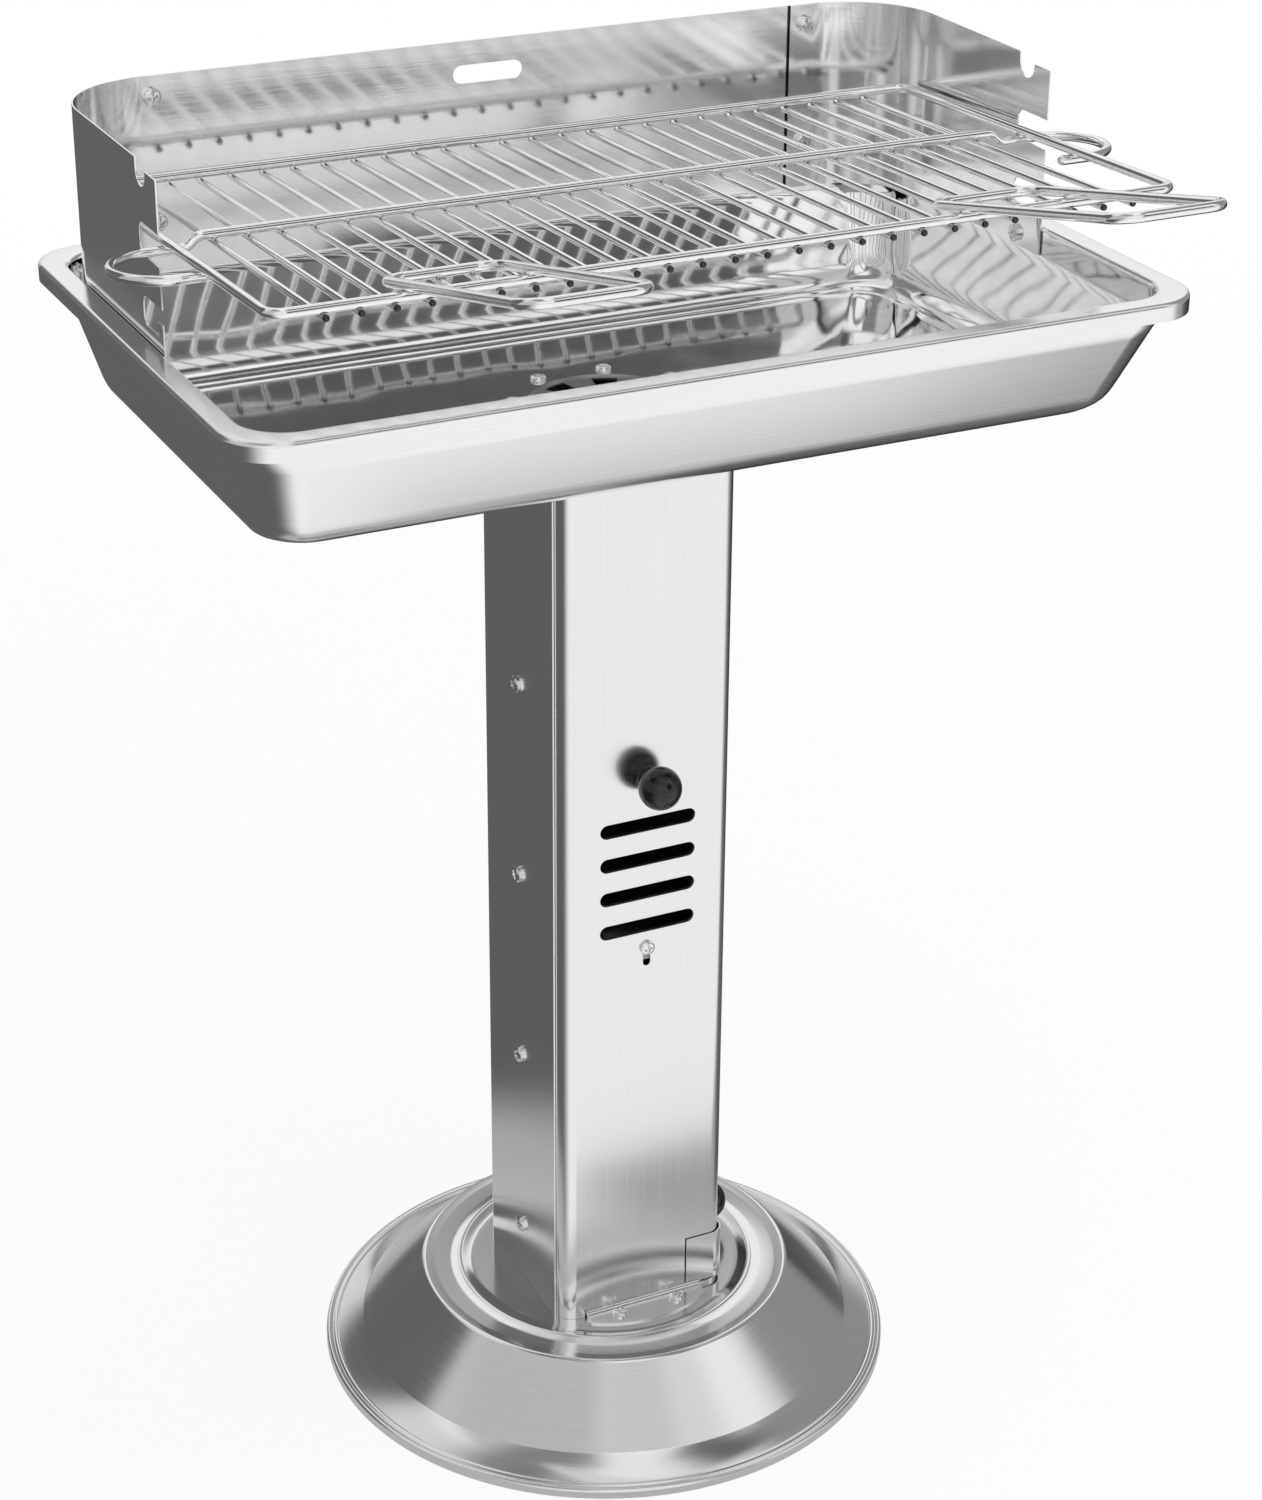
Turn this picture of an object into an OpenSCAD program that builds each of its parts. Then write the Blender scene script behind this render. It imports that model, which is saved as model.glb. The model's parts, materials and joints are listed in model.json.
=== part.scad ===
// Pedestal charcoal grill: pressed base, two-sheet column with a draught damper and an ash drawer,
// rectangular fire bowl, three-piece wind shield and a wire grate with two handles.
// The front is -Y and the origin is where the column's axis meets the ground.

/* [Base dish] */
// Radius at the outer edge of the rim
base_radius = 190.75; // [180:0.25:230]
// Width of the flat lip inside the rim
base_lip = 8.5; // [5:0.5:12]
// Height of the lip above the ground
base_lip_rise = 6.3; // [4:0.1:9]
// Width of the concave band between the lip and the cone
base_band = 17; // [12:0.5:22]
// Height of the foot of the cone
base_cone_foot = 16; // [13:0.5:20]
// Radius of the crest at the top of the cone
base_crest_radius = 121; // [116:0.5:130]
// Height of the crest
base_height = 58; // [50:0.5:75]
// Width of the flat ring inside the crest
base_ring = 14; // [10:0.5:16]
// Radius of the recessed disc
disc_radius = 88; // [86.5:0.5:92]
// Depth of the disc below the crest
disc_depth = 2; // [1.5:0.1:3]
// Thickness of the pressed sheet
base_sheet = 1.5; // [1:0.1:2]
// Radius of the rim's rolled edge
base_rim_round = 2.1; // [1.6:0.1:2.8]
// Distance from the column's face to the base screws
base_screw_out = 8; // [7:0.5:10]

/* [Column] */
// Outside width across the two sheets
column_width = 120; // [114:1:124]
// Outside depth
column_depth = 120; // [114:1:124]
// Outside radius of the bent corners
column_corner = 10; // [6:0.5:12]
// Thickness of the column's sheets
column_sheet = 1.2; // [0.8:0.1:1.6]
// Distance from the front face to the edge of the back sheet
column_seam = 11; // [10.5:0.5:16]
// Distance from the front face to the end of the front sheet's flanges
column_overlap = 72; // [66:1:90]
// Half width of the foot flanges
foot_flange_reach = 42; // [34:1:46]
// Radius of the foot flanges' round edge
foot_flange_radius = 82; // [80:0.5:84]
// Width of the flanges folded inward at the top
top_flange = 14; // [12:0.5:18]
// Distance of the side screws behind the column's axis
side_screw_back = 3; // [0:0.5:4]
// Height of the lowest side screw above the foot
side_screw_start = 40.3; // [40:0.1:60]
// Distance from one side screw to the next
side_screw_pitch = 133.2; // [100:0.1:140]

/* [Draught vents and damper] */
// Distance between the end circles of a vent slot
vent_length = 56; // [40:1:60]
// Height of a vent slot
vent_height = 9.6; // [6:0.1:10]
// Distance from one vent slot to the next
vent_pitch = 23.8; // [23:0.1:28]
// Number of vent slots
vent_count = 4; // [2:1:4]
// Height of the lowest vent slot above the foot
vent_start = 287.1; // [240:1:300]
// Travel of the damper
damper_travel = 10.5; // [10:0.1:11]
// Distance from the column's side in to the damper plate
damper_inset = 15; // [13:0.5:20]
// Thickness of the damper plate
damper_sheet = 1.2; // [0.8:0.1:1.5]
// Height of the knob above the uppermost vent slot
damper_knob_rise = 32; // [30:0.5:40]
// Distance that the damper plate runs past its knob's stud and its guide screw
damper_overrun = 9; // [7:0.5:12]
// Drop of the guide screw below the lowest vent slot
damper_guide_drop = 16.5; // [15:0.1:24]
// Width of the guide slot
guide_slot_width = 5; // [4.6:0.1:6]

/* [Knobs and studs] */
// Diameter of a ball knob
knob_diameter = 27.4; // [22:0.1:32]
// Gap between a ball knob and its face
knob_stand_off = 2.3; // [1.5:0.1:4]
// Diameter of a knob's stud
stud_diameter = 6; // [5:0.5:8]
// Diameter of a stud's flat head
stud_head = 10; // [9:0.5:12]

/* [Ash drawer] */
// Distance from the column's right side to the left edge of the drawer's front wrap
drawer_wrap = 28; // [20:0.5:34]
// Height of the top edge above the foot
drawer_top = 39.3; // [34:0.1:44]
// Gap round the drawer's front
drawer_gap = 1; // [0.5:0.1:1.5]
// How far the drawer's front stands proud of the column's side
drawer_proud = 1.5; // [1.3:0.1:3]
// Clearance of the drawer's underside above the base's crest
drawer_lift = 1.5; // [1.2:0.1:2]
// Outside width of the tray
tray_width = 99; // [80:1:99]
// Outside height of the tray
tray_height = 28; // [20:0.5:30]
// Distance from the column's left side to the tray
tray_setback = 6; // [4:0.5:10]
// Thickness of the tray's walls
tray_sheet = 1; // [0.8:0.1:1.5]

/* [Fire bowl] */
// Length over the rim
bowl_length = 600; // [590:5:660]
// Depth over the rim
bowl_depth = 373; // [365:1:420]
// Corner radius of the rim in plan
rim_corner = 33; // [30:1:45]
// Width of the flat rim
rim_width = 15.7; // [12:0.1:18]
// Height of the turned-down skirt
rim_skirt = 11; // [8:0.5:14]
// Height of the rim's top above the ground
rim_height = 752.6; // [740:0.1:800]
// Height of the bowl, from its underside to the rim's top
bowl_height = 81.2; // [76:0.1:90]
// Height of the upright band of the wall below the rim
wall_band = 20.6; // [20:0.1:26]
// Distance from an end wall's top in to the flat floor
floor_inset_ends = 32.5; // [26:0.5:40]
// Distance from the front or back wall's top in to the flat floor
floor_inset_sides = 45; // [30:0.5:48]
// Radius of the floor's round edge
floor_round = 22.4; // [16:0.1:26]
// Corner radius of the wall in plan at the top
bowl_corner_top = 30; // [26:1:38]
// Corner radius of the wall in plan at the floor
bowl_corner_floor = 27; // [12:1:30]
// Thickness of the bowl's sheet
bowl_sheet = 1.2; // [0.8:0.1:1.6]
// Distance from the column's outer face in to the edge of the floor's hole
floor_hole_inset = 11; // [10:0.5:20]

/* [Draught plate] */
// Inner radius of the wedge openings
wedge_inner = 18; // [12:0.5:24]
// Distance from the edge of the floor's hole in to the wedge openings
wedge_inset = 4; // [2:0.5:12]
// Angle of one wedge opening
wedge_angle = 21; // [14:1:28]
// Number of wedge openings
wedge_count = 8; // [6:1:10]
// Thickness of the plate
draught_sheet = 1.2; // [0.8:0.1:1.6]

/* [Wind shield] */
// Thickness of the shield's panels
shield_sheet = 1; // [0.8:0.1:1.4]
// Clearance between the shield and the bowl's wall
shield_clearance = 0.4; // [0.2:0.1:1]
// Corner radius in plan
shield_corner = 57; // [46:1:70]
// Height of the top edge above the rim
shield_rise = 102; // [98:0.5:120]
// Depth of the shield's foot below the rim
shield_foot = 18.6; // [16:0.1:19.5]
// Distance from the column's axis to the side panels' front edge
shield_front = 27; // [25:0.5:34]
// Length that a side panel reaches round the corner along the back
side_return = 73.9; // [70:0.1:95]
// Overlap of the back panel and a side panel
panel_overlap = 22; // [18:0.5:24]
// Distance of the joint screws from the top edge and from the bowl's rim
joint_screw_drop = 12.6; // [9:0.1:16]
// Length of the hand slot in the back panel
hand_slot_length = 47; // [40:1:80]
// Height of the hand slot
hand_slot_height = 11.5; // [8:0.5:14]
// Drop of the hand slot's centre below the top edge
hand_slot_drop = 20.8; // [16:0.1:28]
// Radius of a spit notch
notch_radius = 8.25; // [5:0.25:9]
// Depth of a spit notch below the panel's top
notch_depth = 14.6; // [12:0.1:20]
// Distance from the column's axis forward to the spit notches
notch_forward = 1.25; // [0:0.25:3]
// Distance from the column's middle to the hand slot's centre
hand_slot_offset = 2.5; // [0:0.5:6]
// Drop of the front tab's top below the panel's top
tab_drop = 4.6; // [2:0.1:8]
// Height of the upper grate slot
upper_slot_height = 18.5; // [16:0.1:19]
// Height of the lower grate slot
lower_slot_height = 17; // [12:0.1:18]
// Distance from the upper slot's floor to the lower slot's floor
grate_slot_pitch = 41; // [38:0.5:45]
// Height of the lip at the mouth of the lower slot
slot_lip = 8; // [4:0.5:9]
// Depth of the grate slots from the panel's front edge
grate_slot_depth = 33; // [28:0.5:36]

/* [Grate] */
// Diameter of the frame's wires
frame_wire = 6; // [5:0.1:6]
// Diameter of the cooking rods
rod_diameter = 4; // [3:0.1:5]
// Gap between the frame's side wires and the shield
grate_gap = 5.5; // [2:0.5:8]
// Distance from the rim's front edge back to the front wire
grate_front_inset = 11; // [0:0.5:20]
// Distance from the back panel forward to the rear wire
grate_rear_inset = 39.4; // [20:0.1:60]
// Slope of the grate, higher at the front
grate_slope = 2.58; // [0:0.01:3]
// Height of the cross wire above the rim
grate_rise = 57.7; // [57:0.1:60]
// Distance from the column's axis forward to the cross wire
cross_wire_forward = 8; // [4:0.5:12]
// Radius of the cross wire's loops outside the shield
loop_radius = 30; // [26:0.5:34]
// Distance from one cooking rod to the next
rod_pitch = 19.6; // [16:0.1:24]
// How far the rods run past the front and rear wires
rod_overrun = 4; // [3:0.5:8]

/* [Grate handles] */
// Distance from a side wire in to a handle's centre
handle_inset = 107.8; // [90:0.1:140]
// Width of a handle over its wire's centres
handle_width = 68; // [50:1:90]
// Length of a handle from its cross-bar to its end
handle_length = 194; // [160:1:196]
// Rise of a handle over its length
handle_rise = 43; // [42:0.5:60]
// Distance from the front wire back to a handle's cross-bar
handle_setback = 34.5; // [28:0.5:40]
// Corner radius of a handle's wire
handle_corner = 14; // [8:1:24]

/* [Fasteners] */
// Diameter of the side, joint and mounting screws
screw_diameter = 6; // [5:0.5:6]
// Diameter of their heads
screw_head = 11; // [9:0.5:12]
// Height of their heads
screw_head_height = 3.6; // [2.5:0.1:4]
// Diameter of the bowl's and the base's screws
small_screw_diameter = 4; // [3:0.5:4.5]
// Diameter of their heads
small_screw_head = 9.5; // [7:0.5:9.5]
// Height of their heads
small_screw_head_height = 2.8; // [2:0.1:3.2]
// Width across the flats of a large nut
nut_width = 10; // [9:0.5:10]
// Thickness of a large nut
nut_height = 5; // [4:0.1:5.2]
// Width across the flats of a small nut
small_nut_width = 7; // [6:0.5:7.5]
// Thickness of a small nut
small_nut_height = 3.2; // [2.4:0.1:4]

/* [Hidden] */
// Smoothness of round forms
$fn = 48;
// Overrun of every cut
cut = 2;
// Clearance of a sheet that lies inside another, and of a wire in its seat
fit = 0.2;
seat = 0.3;
// Radial clearance of a screw or stud in its hole
hole_fit = 0.1;
// Distance left between welded wires' surfaces
weld = 0.05;
// Length of a screw's end past its nut
screw_end = 1.5;
// Shares of a pan head's radius and height from its edge to its crown
head_shares = [[1, 0], [1, 0.32], [0.93, 0.62], [0.72, 0.88], [0.4, 1]];
// Shares of a head's diameter and height that the cross recess takes: length, width and depth
recess_shares = [0.56, 0.15, 0.45];
// Share of a nut's width that its corners' chamfer takes
nut_chamfer_share = 0.06;
// Share of the tray's length that its runners take
runner_length_share = 0.55;
// Share of the floor hole's radius at which the bowl's screws stand off a side's middle
bowl_screw_share = 0.45;
// Shares of a right angle at which the bowl's round floor edge has a ring of points
floor_edge_shares = [1, 0.82, 0.64, 0.46, 0.28, 0.12];
// Share of its rise by which the base's concave band would sag at a right angle to a straight one
band_sag_share = 0.2;
// Angle that the bead's round crown turns to each side
bead_turn = 30;
// Steps of a corner in the bowl's rings of points, and sides of a swept wire
corner_steps = 7;
wire_sides = 16;

// Base
disc_top = base_height - disc_depth;
bead_radius = disc_radius + (base_crest_radius - base_ring - disc_radius) / 2;
bead_top = base_height + base_sheet / 2;
base_screw_side = foot_flange_reach / 2;
base_screw_forward = column_depth / 2 + base_screw_out;

// Column
bowl_underside = rim_height - bowl_height;
column_top = bowl_underside - draught_sheet;
front_sheet_width = column_width - 2 * (column_sheet + fit);
front_leg_end = column_overlap - column_depth / 2;
back_leg_end = column_seam - column_depth / 2;
side_screw_count = floor((column_top - disc_top - side_screw_start - screw_head) / side_screw_pitch) + 1;
column_face = -column_depth / 2;

// Draught vents and damper
vent_floor = disc_top + vent_start;
vent_ceiling = vent_floor + (vent_count - 1) * vent_pitch;
damper_face = column_face + column_sheet + seat;
knob_height = vent_ceiling + damper_knob_rise;
guide_height = vent_floor - damper_guide_drop;
guide_screw_diameter = guide_slot_width - 5 * fit;
damper_width = column_width - 2 * damper_inset;

// Ash drawer
drawer_face = column_width / 2 + drawer_proud;
drawer_floor = base_height + drawer_lift;
drawer_ceiling = disc_top + drawer_top;
drawer_edge = column_width / 2 - drawer_wrap;
tray_start = -column_width / 2 + tray_setback;
tray_end = drawer_face - column_sheet;
drawer_knob_height = (drawer_floor + drawer_ceiling) / 2;

// Bowl
floor_hole_radius = min(column_width, column_depth) / 2 - floor_hole_inset;
wedge_outer = floor_hole_radius - wedge_inset;
wall_x = bowl_length / 2 - rim_width + bowl_sheet;
wall_y = bowl_depth / 2 - rim_width + bowl_sheet;
bowl_screw_side = floor_hole_radius * bowl_screw_share;
bowl_screw_inset = 2 * column_sheet + fit + small_nut_width / 2 / cos(30) + seat;

// Shield
shield_x = wall_x - bowl_sheet - shield_clearance;
shield_y = wall_y - bowl_sheet - shield_clearance - shield_sheet;
shield_top = rim_height + shield_rise;
shield_bottom = rim_height - shield_foot;
side_panel_end = shield_x - side_return;
back_panel_end = side_panel_end + panel_overlap;
joint_screw_x = (side_panel_end + back_panel_end) / 2;
mount_screw_z = rim_height - rim_skirt;
notch_y = -notch_forward;
notch_floor = shield_top - notch_depth;
slot_end_y = grate_slot_depth - shield_front;

// Grate
grate_width = 2 * (shield_x - shield_sheet - grate_gap) - frame_wire;
grate_front = bowl_depth / 2 - grate_front_inset;
grate_rear = shield_y - grate_rear_inset;
rods_per_side = round(grate_width / 2 / rod_pitch) - 1;
handle_offset = grate_width / 2 - handle_inset;
cross_wire_z = rim_height + grate_rise;
loop_z = -frame_wire - weld;
upper_slot_floor = cross_wire_z + loop_z - frame_wire / 2 - seat;
lower_slot_floor = upper_slot_floor - grate_slot_pitch;
rod_z = -(frame_wire + rod_diameter) / 2 - weld;
wire_bend = frame_wire * 1.5;
dip_angle = acos(1 + loop_z / (2 * wire_bend));
dip_run = 2 * wire_bend * sin(dip_angle);
dip_start = grate_width / 2 - dip_run - wire_bend;
front_wire_y = -grate_front + cross_wire_forward;
rear_wire_y = grate_rear + cross_wire_forward;
handle_y = front_wire_y + handle_setback;

// Points of an arc in a plane
function arc(centre, radius, from, to, steps) =
    [for (i = [0 : steps])
        let (a = from + (to - from) * i / steps)
        centre + radius * [cos(a), sin(a)]];

// Left-hand normal of a line from a to b
function normal(a, b) = let (d = (b - a) / norm(b - a)) [-d[1], d[0]];

// Offset direction at a point of an open path, so that parallel sides keep one distance
function mitre(path, i) =
    let (last = len(path) - 1,
         before = i > 0 ? normal(path[i - 1], path[i]) : normal(path[0], path[1]),
         after = i < last ? normal(path[i], path[i + 1]) : before)
    (before + after) / (1 + before * after);

// Outline of a sheet that lies to the left of a path
function sheet_outline(path, thickness) =
    concat(path, [for (i = [len(path) - 1 : -1 : 0]) path[i] + thickness * mitre(path, i)]);

// Closed solid through rings with equal counts of points, from the lowest to the highest
module loft(rings) {
    size = len(rings[0]);
    last = len(rings) - 1;
    polyhedron(
        points = [for (r = rings) each r],
        faces = concat(
            [[for (i = [0 : size - 1]) i]],
            [for (k = [0 : last - 1], i = [0 : size - 1])
                let (j = (i + 1) % size)
                [k * size + i, (k + 1) * size + i, (k + 1) * size + j]],
            [for (k = [0 : last - 1], i = [0 : size - 1])
                let (j = (i + 1) % size)
                [k * size + i, (k + 1) * size + j, k * size + j]],
            [[for (i = [size - 1 : -1 : 0]) last * size + i]]));
}

// Direction of a path at one of its points
function heading(path, i) =
    let (run = path[min(len(path) - 1, i + 1)] - path[max(0, i - 1)])
    run / norm(run);

// Side vectors along a path, each the last one turned no more than the path turns
function side_vectors(path, i = 0, side = [0, 0, 1]) =
    i == len(path) ? []
    : let (ahead = heading(path, i),
           square_to = side - (side * ahead) * ahead,
           next = square_to / norm(square_to))
      concat([next], side_vectors(path, i + 1, next));

// Round wire swept along a path of points
module swept_wire(path, diameter) {
    sides = side_vectors(path);
    loft([for (i = [0 : len(path) - 1])
        let (across = cross(heading(path, i), sides[i]))
        [for (k = [0 : wire_sides - 1])
            let (a = 360 * k / wire_sides)
            path[i] + diameter / 2 * (cos(a) * sides[i] + sin(a) * across)]]);
}

// Rectangle with round corners, centred
module rounded(width, depth, corner) {
    square([width - 2 * corner, depth], center = true);
    square([width, depth - 2 * corner], center = true);
    for (x = [-1, 1], y = [-1, 1])
        translate([x * (width / 2 - corner), y * (depth / 2 - corner)])
            circle(corner);
}

// Upright sheet wall that follows a rounded rectangle
module wall(width, depth, corner, thickness, height) {
    linear_extrude(height)
        difference() {
            rounded(width, depth, corner);
            rounded(width - 2 * thickness, depth - 2 * thickness, corner - thickness);
        }
}

// Horizontal slot with round ends, cut along Y
module slot_cut(length, height, depth) {
    for (x = [-1, 1])
        translate([x * length / 2, 0, 0])
            rotate([90, 0, 0])
                cylinder(d = height, h = depth, center = true);
    cube([length, depth, height], center = true);
}

// Pan-head screw along -Z with a cross recess, with the underside of its head at the origin
module pan_screw(diameter, head, head_height, grip) {
    difference() {
        rotate_extrude()
            polygon(concat(
                [[0, -grip], [diameter / 2, -grip], [diameter / 2, 0]],
                [for (s = head_shares) [s[0] * head / 2, s[1] * head_height]],
                [[0, head_height]]));
        for (turn = [0, 90])
            rotate([0, 0, turn])
                translate([-head * recess_shares[0] / 2, -head * recess_shares[1] / 2,
                           head_height * (1 - recess_shares[2])])
                    cube([head * recess_shares[0], head * recess_shares[1], head_height]);
    }
}

// Hexagon nut below the origin, with chamfered corners
module nut(width, height, bore) {
    across = width / cos(30);
    chamfer = width * nut_chamfer_share;
    difference() {
        intersection() {
            translate([0, 0, -height])
                cylinder(d = across, h = height, $fn = 6);
            translate([0, 0, -height])
                cylinder(d1 = across - 2 * chamfer, d2 = across - 2 * chamfer + 4 * height, h = height);
        }
        translate([0, 0, -height - cut])
            cylinder(d = bore, h = height + 2 * cut);
    }
}

// Ball knob along -Z: the face that it stands on is at the origin
module ball_knob(bore_depth) {
    radius = knob_diameter / 2;
    difference() {
        union() {
            translate([0, 0, knob_stand_off + radius])
                sphere(radius);
            translate([0, 0, seat])
                cylinder(r = radius / 2, h = radius);
        }
        translate([0, 0, -cut])
            cylinder(d = stud_diameter + 2 * hole_fit, h = bore_depth + cut);
    }
}

// Stud with a flat head below the origin; it reaches up into the knob
module knob_stud(grip, reach) {
    cylinder(d = stud_diameter, h = grip + reach);
    translate([0, 0, -stud_diameter / 2])
        cylinder(d = stud_head, h = stud_diameter / 2);
}

// Straight round wire from a to b
module wire(a, b, diameter) {
    run = b - a;
    tilt = acos(run[2] / norm(run));
    turn = atan2(run[1], run[0]);
    translate(a)
        rotate([0, tilt, turn])
            cylinder(d = diameter, h = norm(run));
}

// Round tip of a wire
module tip(place, diameter) {
    translate(place)
        sphere(d = diameter);
}

// Bend of a wire that lies flat
module bend(centre, radius, from, sweep, diameter) {
    translate(centre)
        rotate([0, 0, from])
            rotate_extrude(angle = sweep)
                translate([radius, 0])
                    circle(d = diameter);
}

// Things that ride on the grate's slope, with the cross wire's centre as the origin
module on_grate() {
    translate([0, -cross_wire_forward, cross_wire_z])
        rotate([-grate_slope, 0, 0])
            children();
}

// Base dish: rim, lip, concave band, cone, crest, flat ring, bead and recessed disc

function base_path() =
    let (lip_inner = base_radius - base_lip,
         cone_foot = lip_inner - base_band,
         ring_inner = base_crest_radius - base_ring,
         bead_half = (ring_inner - disc_radius) / 2)
    concat(
        [[base_radius, 0]],
        arc([base_radius - base_rim_round, base_lip_rise - base_rim_round], base_rim_round, 0, 90, 3),
        [for (i = [0 : 5])
            let (s = i / 5)
            [lip_inner - base_band * s,
             base_lip_rise + (base_cone_foot - base_lip_rise) * (s - band_sag_share * s * (1 - s))]],
        arc([base_crest_radius + base_sheet, base_height - 2 * base_sheet], 2 * base_sheet, 45, 90, 3),
        [[ring_inner, base_height - base_sheet / 2]],
        arc([bead_radius, bead_top - bead_half / 3], bead_half / 3, 90 - bead_turn, 90 + bead_turn, 4),
        [[disc_radius, disc_top], [0, disc_top]]);

module base_dish() {
    color("gainsboro")
        difference() {
            rotate_extrude($fn = 96)
                polygon(sheet_outline(base_path(), base_sheet));
            at_base_screws()
                translate([0, 0, -base_sheet * 4])
                    cylinder(d = small_screw_diameter + 2 * hole_fit, h = base_sheet * 8);
        }
}

module at_base_screws() {
    for (x = [-1, 1], y = [-1, 1])
        translate([x * base_screw_side, y * base_screw_forward, disc_top + column_sheet])
            children();
}

module base_screws() {
    color("silver")
        at_base_screws()
            pan_screw(small_screw_diameter, small_screw_head, small_screw_head_height,
                      column_sheet + base_sheet + small_nut_height + screw_end);
}

module base_nuts() {
    color("silver")
        at_base_screws()
            translate([0, 0, -column_sheet - base_sheet])
                nut(small_nut_width, small_nut_height, small_screw_diameter + 2 * hole_fit);
}

// Column sheets

module front_sheet_wall() {
    translate([0, 0, disc_top])
        wall(front_sheet_width, column_depth, column_corner, column_sheet, column_top - disc_top);
}

module back_sheet_wall() {
    translate([0, 0, disc_top])
        wall(column_width, column_depth, column_corner, column_sheet, column_top - disc_top);
}

// Foot flange at the front, bent outward onto the disc
module foot_flange() {
    translate([0, 0, disc_top])
        linear_extrude(column_sheet)
            intersection() {
                circle(foot_flange_radius);
                translate([-foot_flange_reach, -foot_flange_radius])
                    square([2 * foot_flange_reach, foot_flange_radius - column_depth / 2 + column_sheet]);
            }
}

// Flange at the top of a face of that width, bent inward under the bowl
module top_flange_plate(width, depth) {
    half = width / 2 - top_flange - seat - column_sheet;
    translate([-half, -depth / 2, column_top - column_sheet])
        cube([2 * half, top_flange, column_sheet]);
}

// Opening for the drawer's front and tray
module drawer_opening() {
    translate([drawer_edge - drawer_gap, -column_depth, drawer_floor - drawer_gap])
        cube([column_width, 2 * column_depth, drawer_ceiling + drawer_gap - drawer_floor + drawer_gap]);
    translate([column_width / 2 - column_corner, -tray_width / 2, disc_top - cut])
        cube([column_width, tray_width, drawer_ceiling - disc_top]);
}

module at_side_screws(side) {
    first = side > 0 ? 1 : 0;
    for (i = [first : side_screw_count - 1])
        translate([side * column_width / 2, side_screw_back,
                   disc_top + side_screw_start + i * side_screw_pitch])
            rotate([0, side * 90, 0])
                children();
}

module side_screw_holes() {
    for (side = [-1, 1])
        at_side_screws(side)
            cylinder(d = screw_diameter + 2 * hole_fit, h = column_corner, center = true);
}

module bowl_screw_places() {
    for (along = [-1, 1], out = [-1, 1]) {
        translate([along * bowl_screw_side, out * (column_depth / 2 - bowl_screw_inset),
                   bowl_underside + bowl_sheet])
            children();
        translate([out * (column_width / 2 - bowl_screw_inset), along * bowl_screw_side,
                   bowl_underside + bowl_sheet])
            children();
    }
}

module bowl_screw_holes() {
    bowl_screw_places()
        cylinder(d = small_screw_diameter + 2 * hole_fit, h = column_corner * 2, center = true);
}

module vents() {
    for (i = [0 : vent_count - 1])
        translate([0, column_face, vent_floor + i * vent_pitch])
            slot_cut(vent_length, vent_height, column_corner);
}

// Upright slot for a part that slides down by the damper's travel
module travel_slot(width, height) {
    translate([0, column_face, height - damper_travel / 2])
        rotate([0, 90, 0])
            slot_cut(damper_travel + 2 * hole_fit, width, column_corner);
}

module column_front() {
    color("whitesmoke")
        difference() {
            union() {
                difference() {
                    front_sheet_wall();
                    translate([-column_width, front_leg_end, 0])
                        cube([2 * column_width, column_depth, rim_height]);
                    translate([-column_width, back_leg_end, column_top - column_sheet - seat])
                        cube([2 * column_width, column_depth, rim_height]);
                }
                foot_flange();
                top_flange_plate(column_width, column_depth);
            }
            drawer_opening();
            side_screw_holes();
            bowl_screw_holes();
            at_base_screws()
                cylinder(d = small_screw_diameter + 2 * hole_fit, h = column_sheet * 3, center = true);
            vents();
            travel_slot(stud_diameter + 2 * hole_fit, knob_height);
            travel_slot(guide_slot_width, guide_height);
        }
}

module column_back() {
    color("lightgray")
        difference() {
            union() {
                intersection() {
                    back_sheet_wall();
                    translate([-column_width, back_leg_end, 0])
                        cube([2 * column_width, column_depth, rim_height]);
                }
                rotate([0, 0, 180]) {
                    foot_flange();
                    top_flange_plate(column_width, column_depth);
                }
                for (turn = [-90, 90])
                    rotate([0, 0, turn])
                        top_flange_plate(column_depth, column_width);
            }
            drawer_opening();
            side_screw_holes();
            bowl_screw_holes();
            at_base_screws()
                cylinder(d = small_screw_diameter + 2 * hole_fit, h = column_sheet * 3, center = true);
        }
}

module column_screws() {
    color("silver")
        for (side = [-1, 1])
            at_side_screws(side)
                pan_screw(screw_diameter, screw_head, screw_head_height,
                          2 * column_sheet + fit + nut_height + screw_end);
}

module column_nuts() {
    color("silver")
        for (side = [-1, 1])
            at_side_screws(side)
                translate([0, 0, -2 * column_sheet - fit])
                    nut(nut_width, nut_height, screw_diameter + 2 * hole_fit);
}

// Damper: slotted plate behind the vents, with its knob, stud and guide screw

module damper_plate() {
    low = guide_height - damper_overrun;
    high = knob_height + damper_overrun;
    color("silver")
        difference() {
            translate([-damper_width / 2, damper_face, low])
                cube([damper_width, damper_sheet, high - low]);
            vents();
            translate([0, column_face, knob_height])
                rotate([90, 0, 0])
                    cylinder(d = stud_diameter + 2 * hole_fit, h = column_corner, center = true);
            translate([0, column_face, guide_height])
                rotate([90, 0, 0])
                    cylinder(d = guide_screw_diameter + 2 * hole_fit, h = column_corner, center = true);
        }
}

module damper_knob() {
    color("black")
        translate([0, column_face, knob_height])
            rotate([90, 0, 0])
                ball_knob(knob_stand_off + knob_diameter / 2);
}

module damper_stud() {
    color("silver")
        translate([0, damper_face + damper_sheet, knob_height])
            rotate([90, 0, 0])
                knob_stud(damper_sheet + seat + column_sheet, knob_stand_off + knob_diameter / 2 - seat);
}

module damper_guide_screw() {
    color("silver")
        translate([0, column_face - fit, guide_height])
            rotate([90, 0, 0])
                pan_screw(guide_screw_diameter, small_screw_head, small_screw_head_height,
                          fit + column_sheet + seat + damper_sheet + screw_end);
}

// Ash drawer: tray with runners, wrapped front, knob and stud

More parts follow.
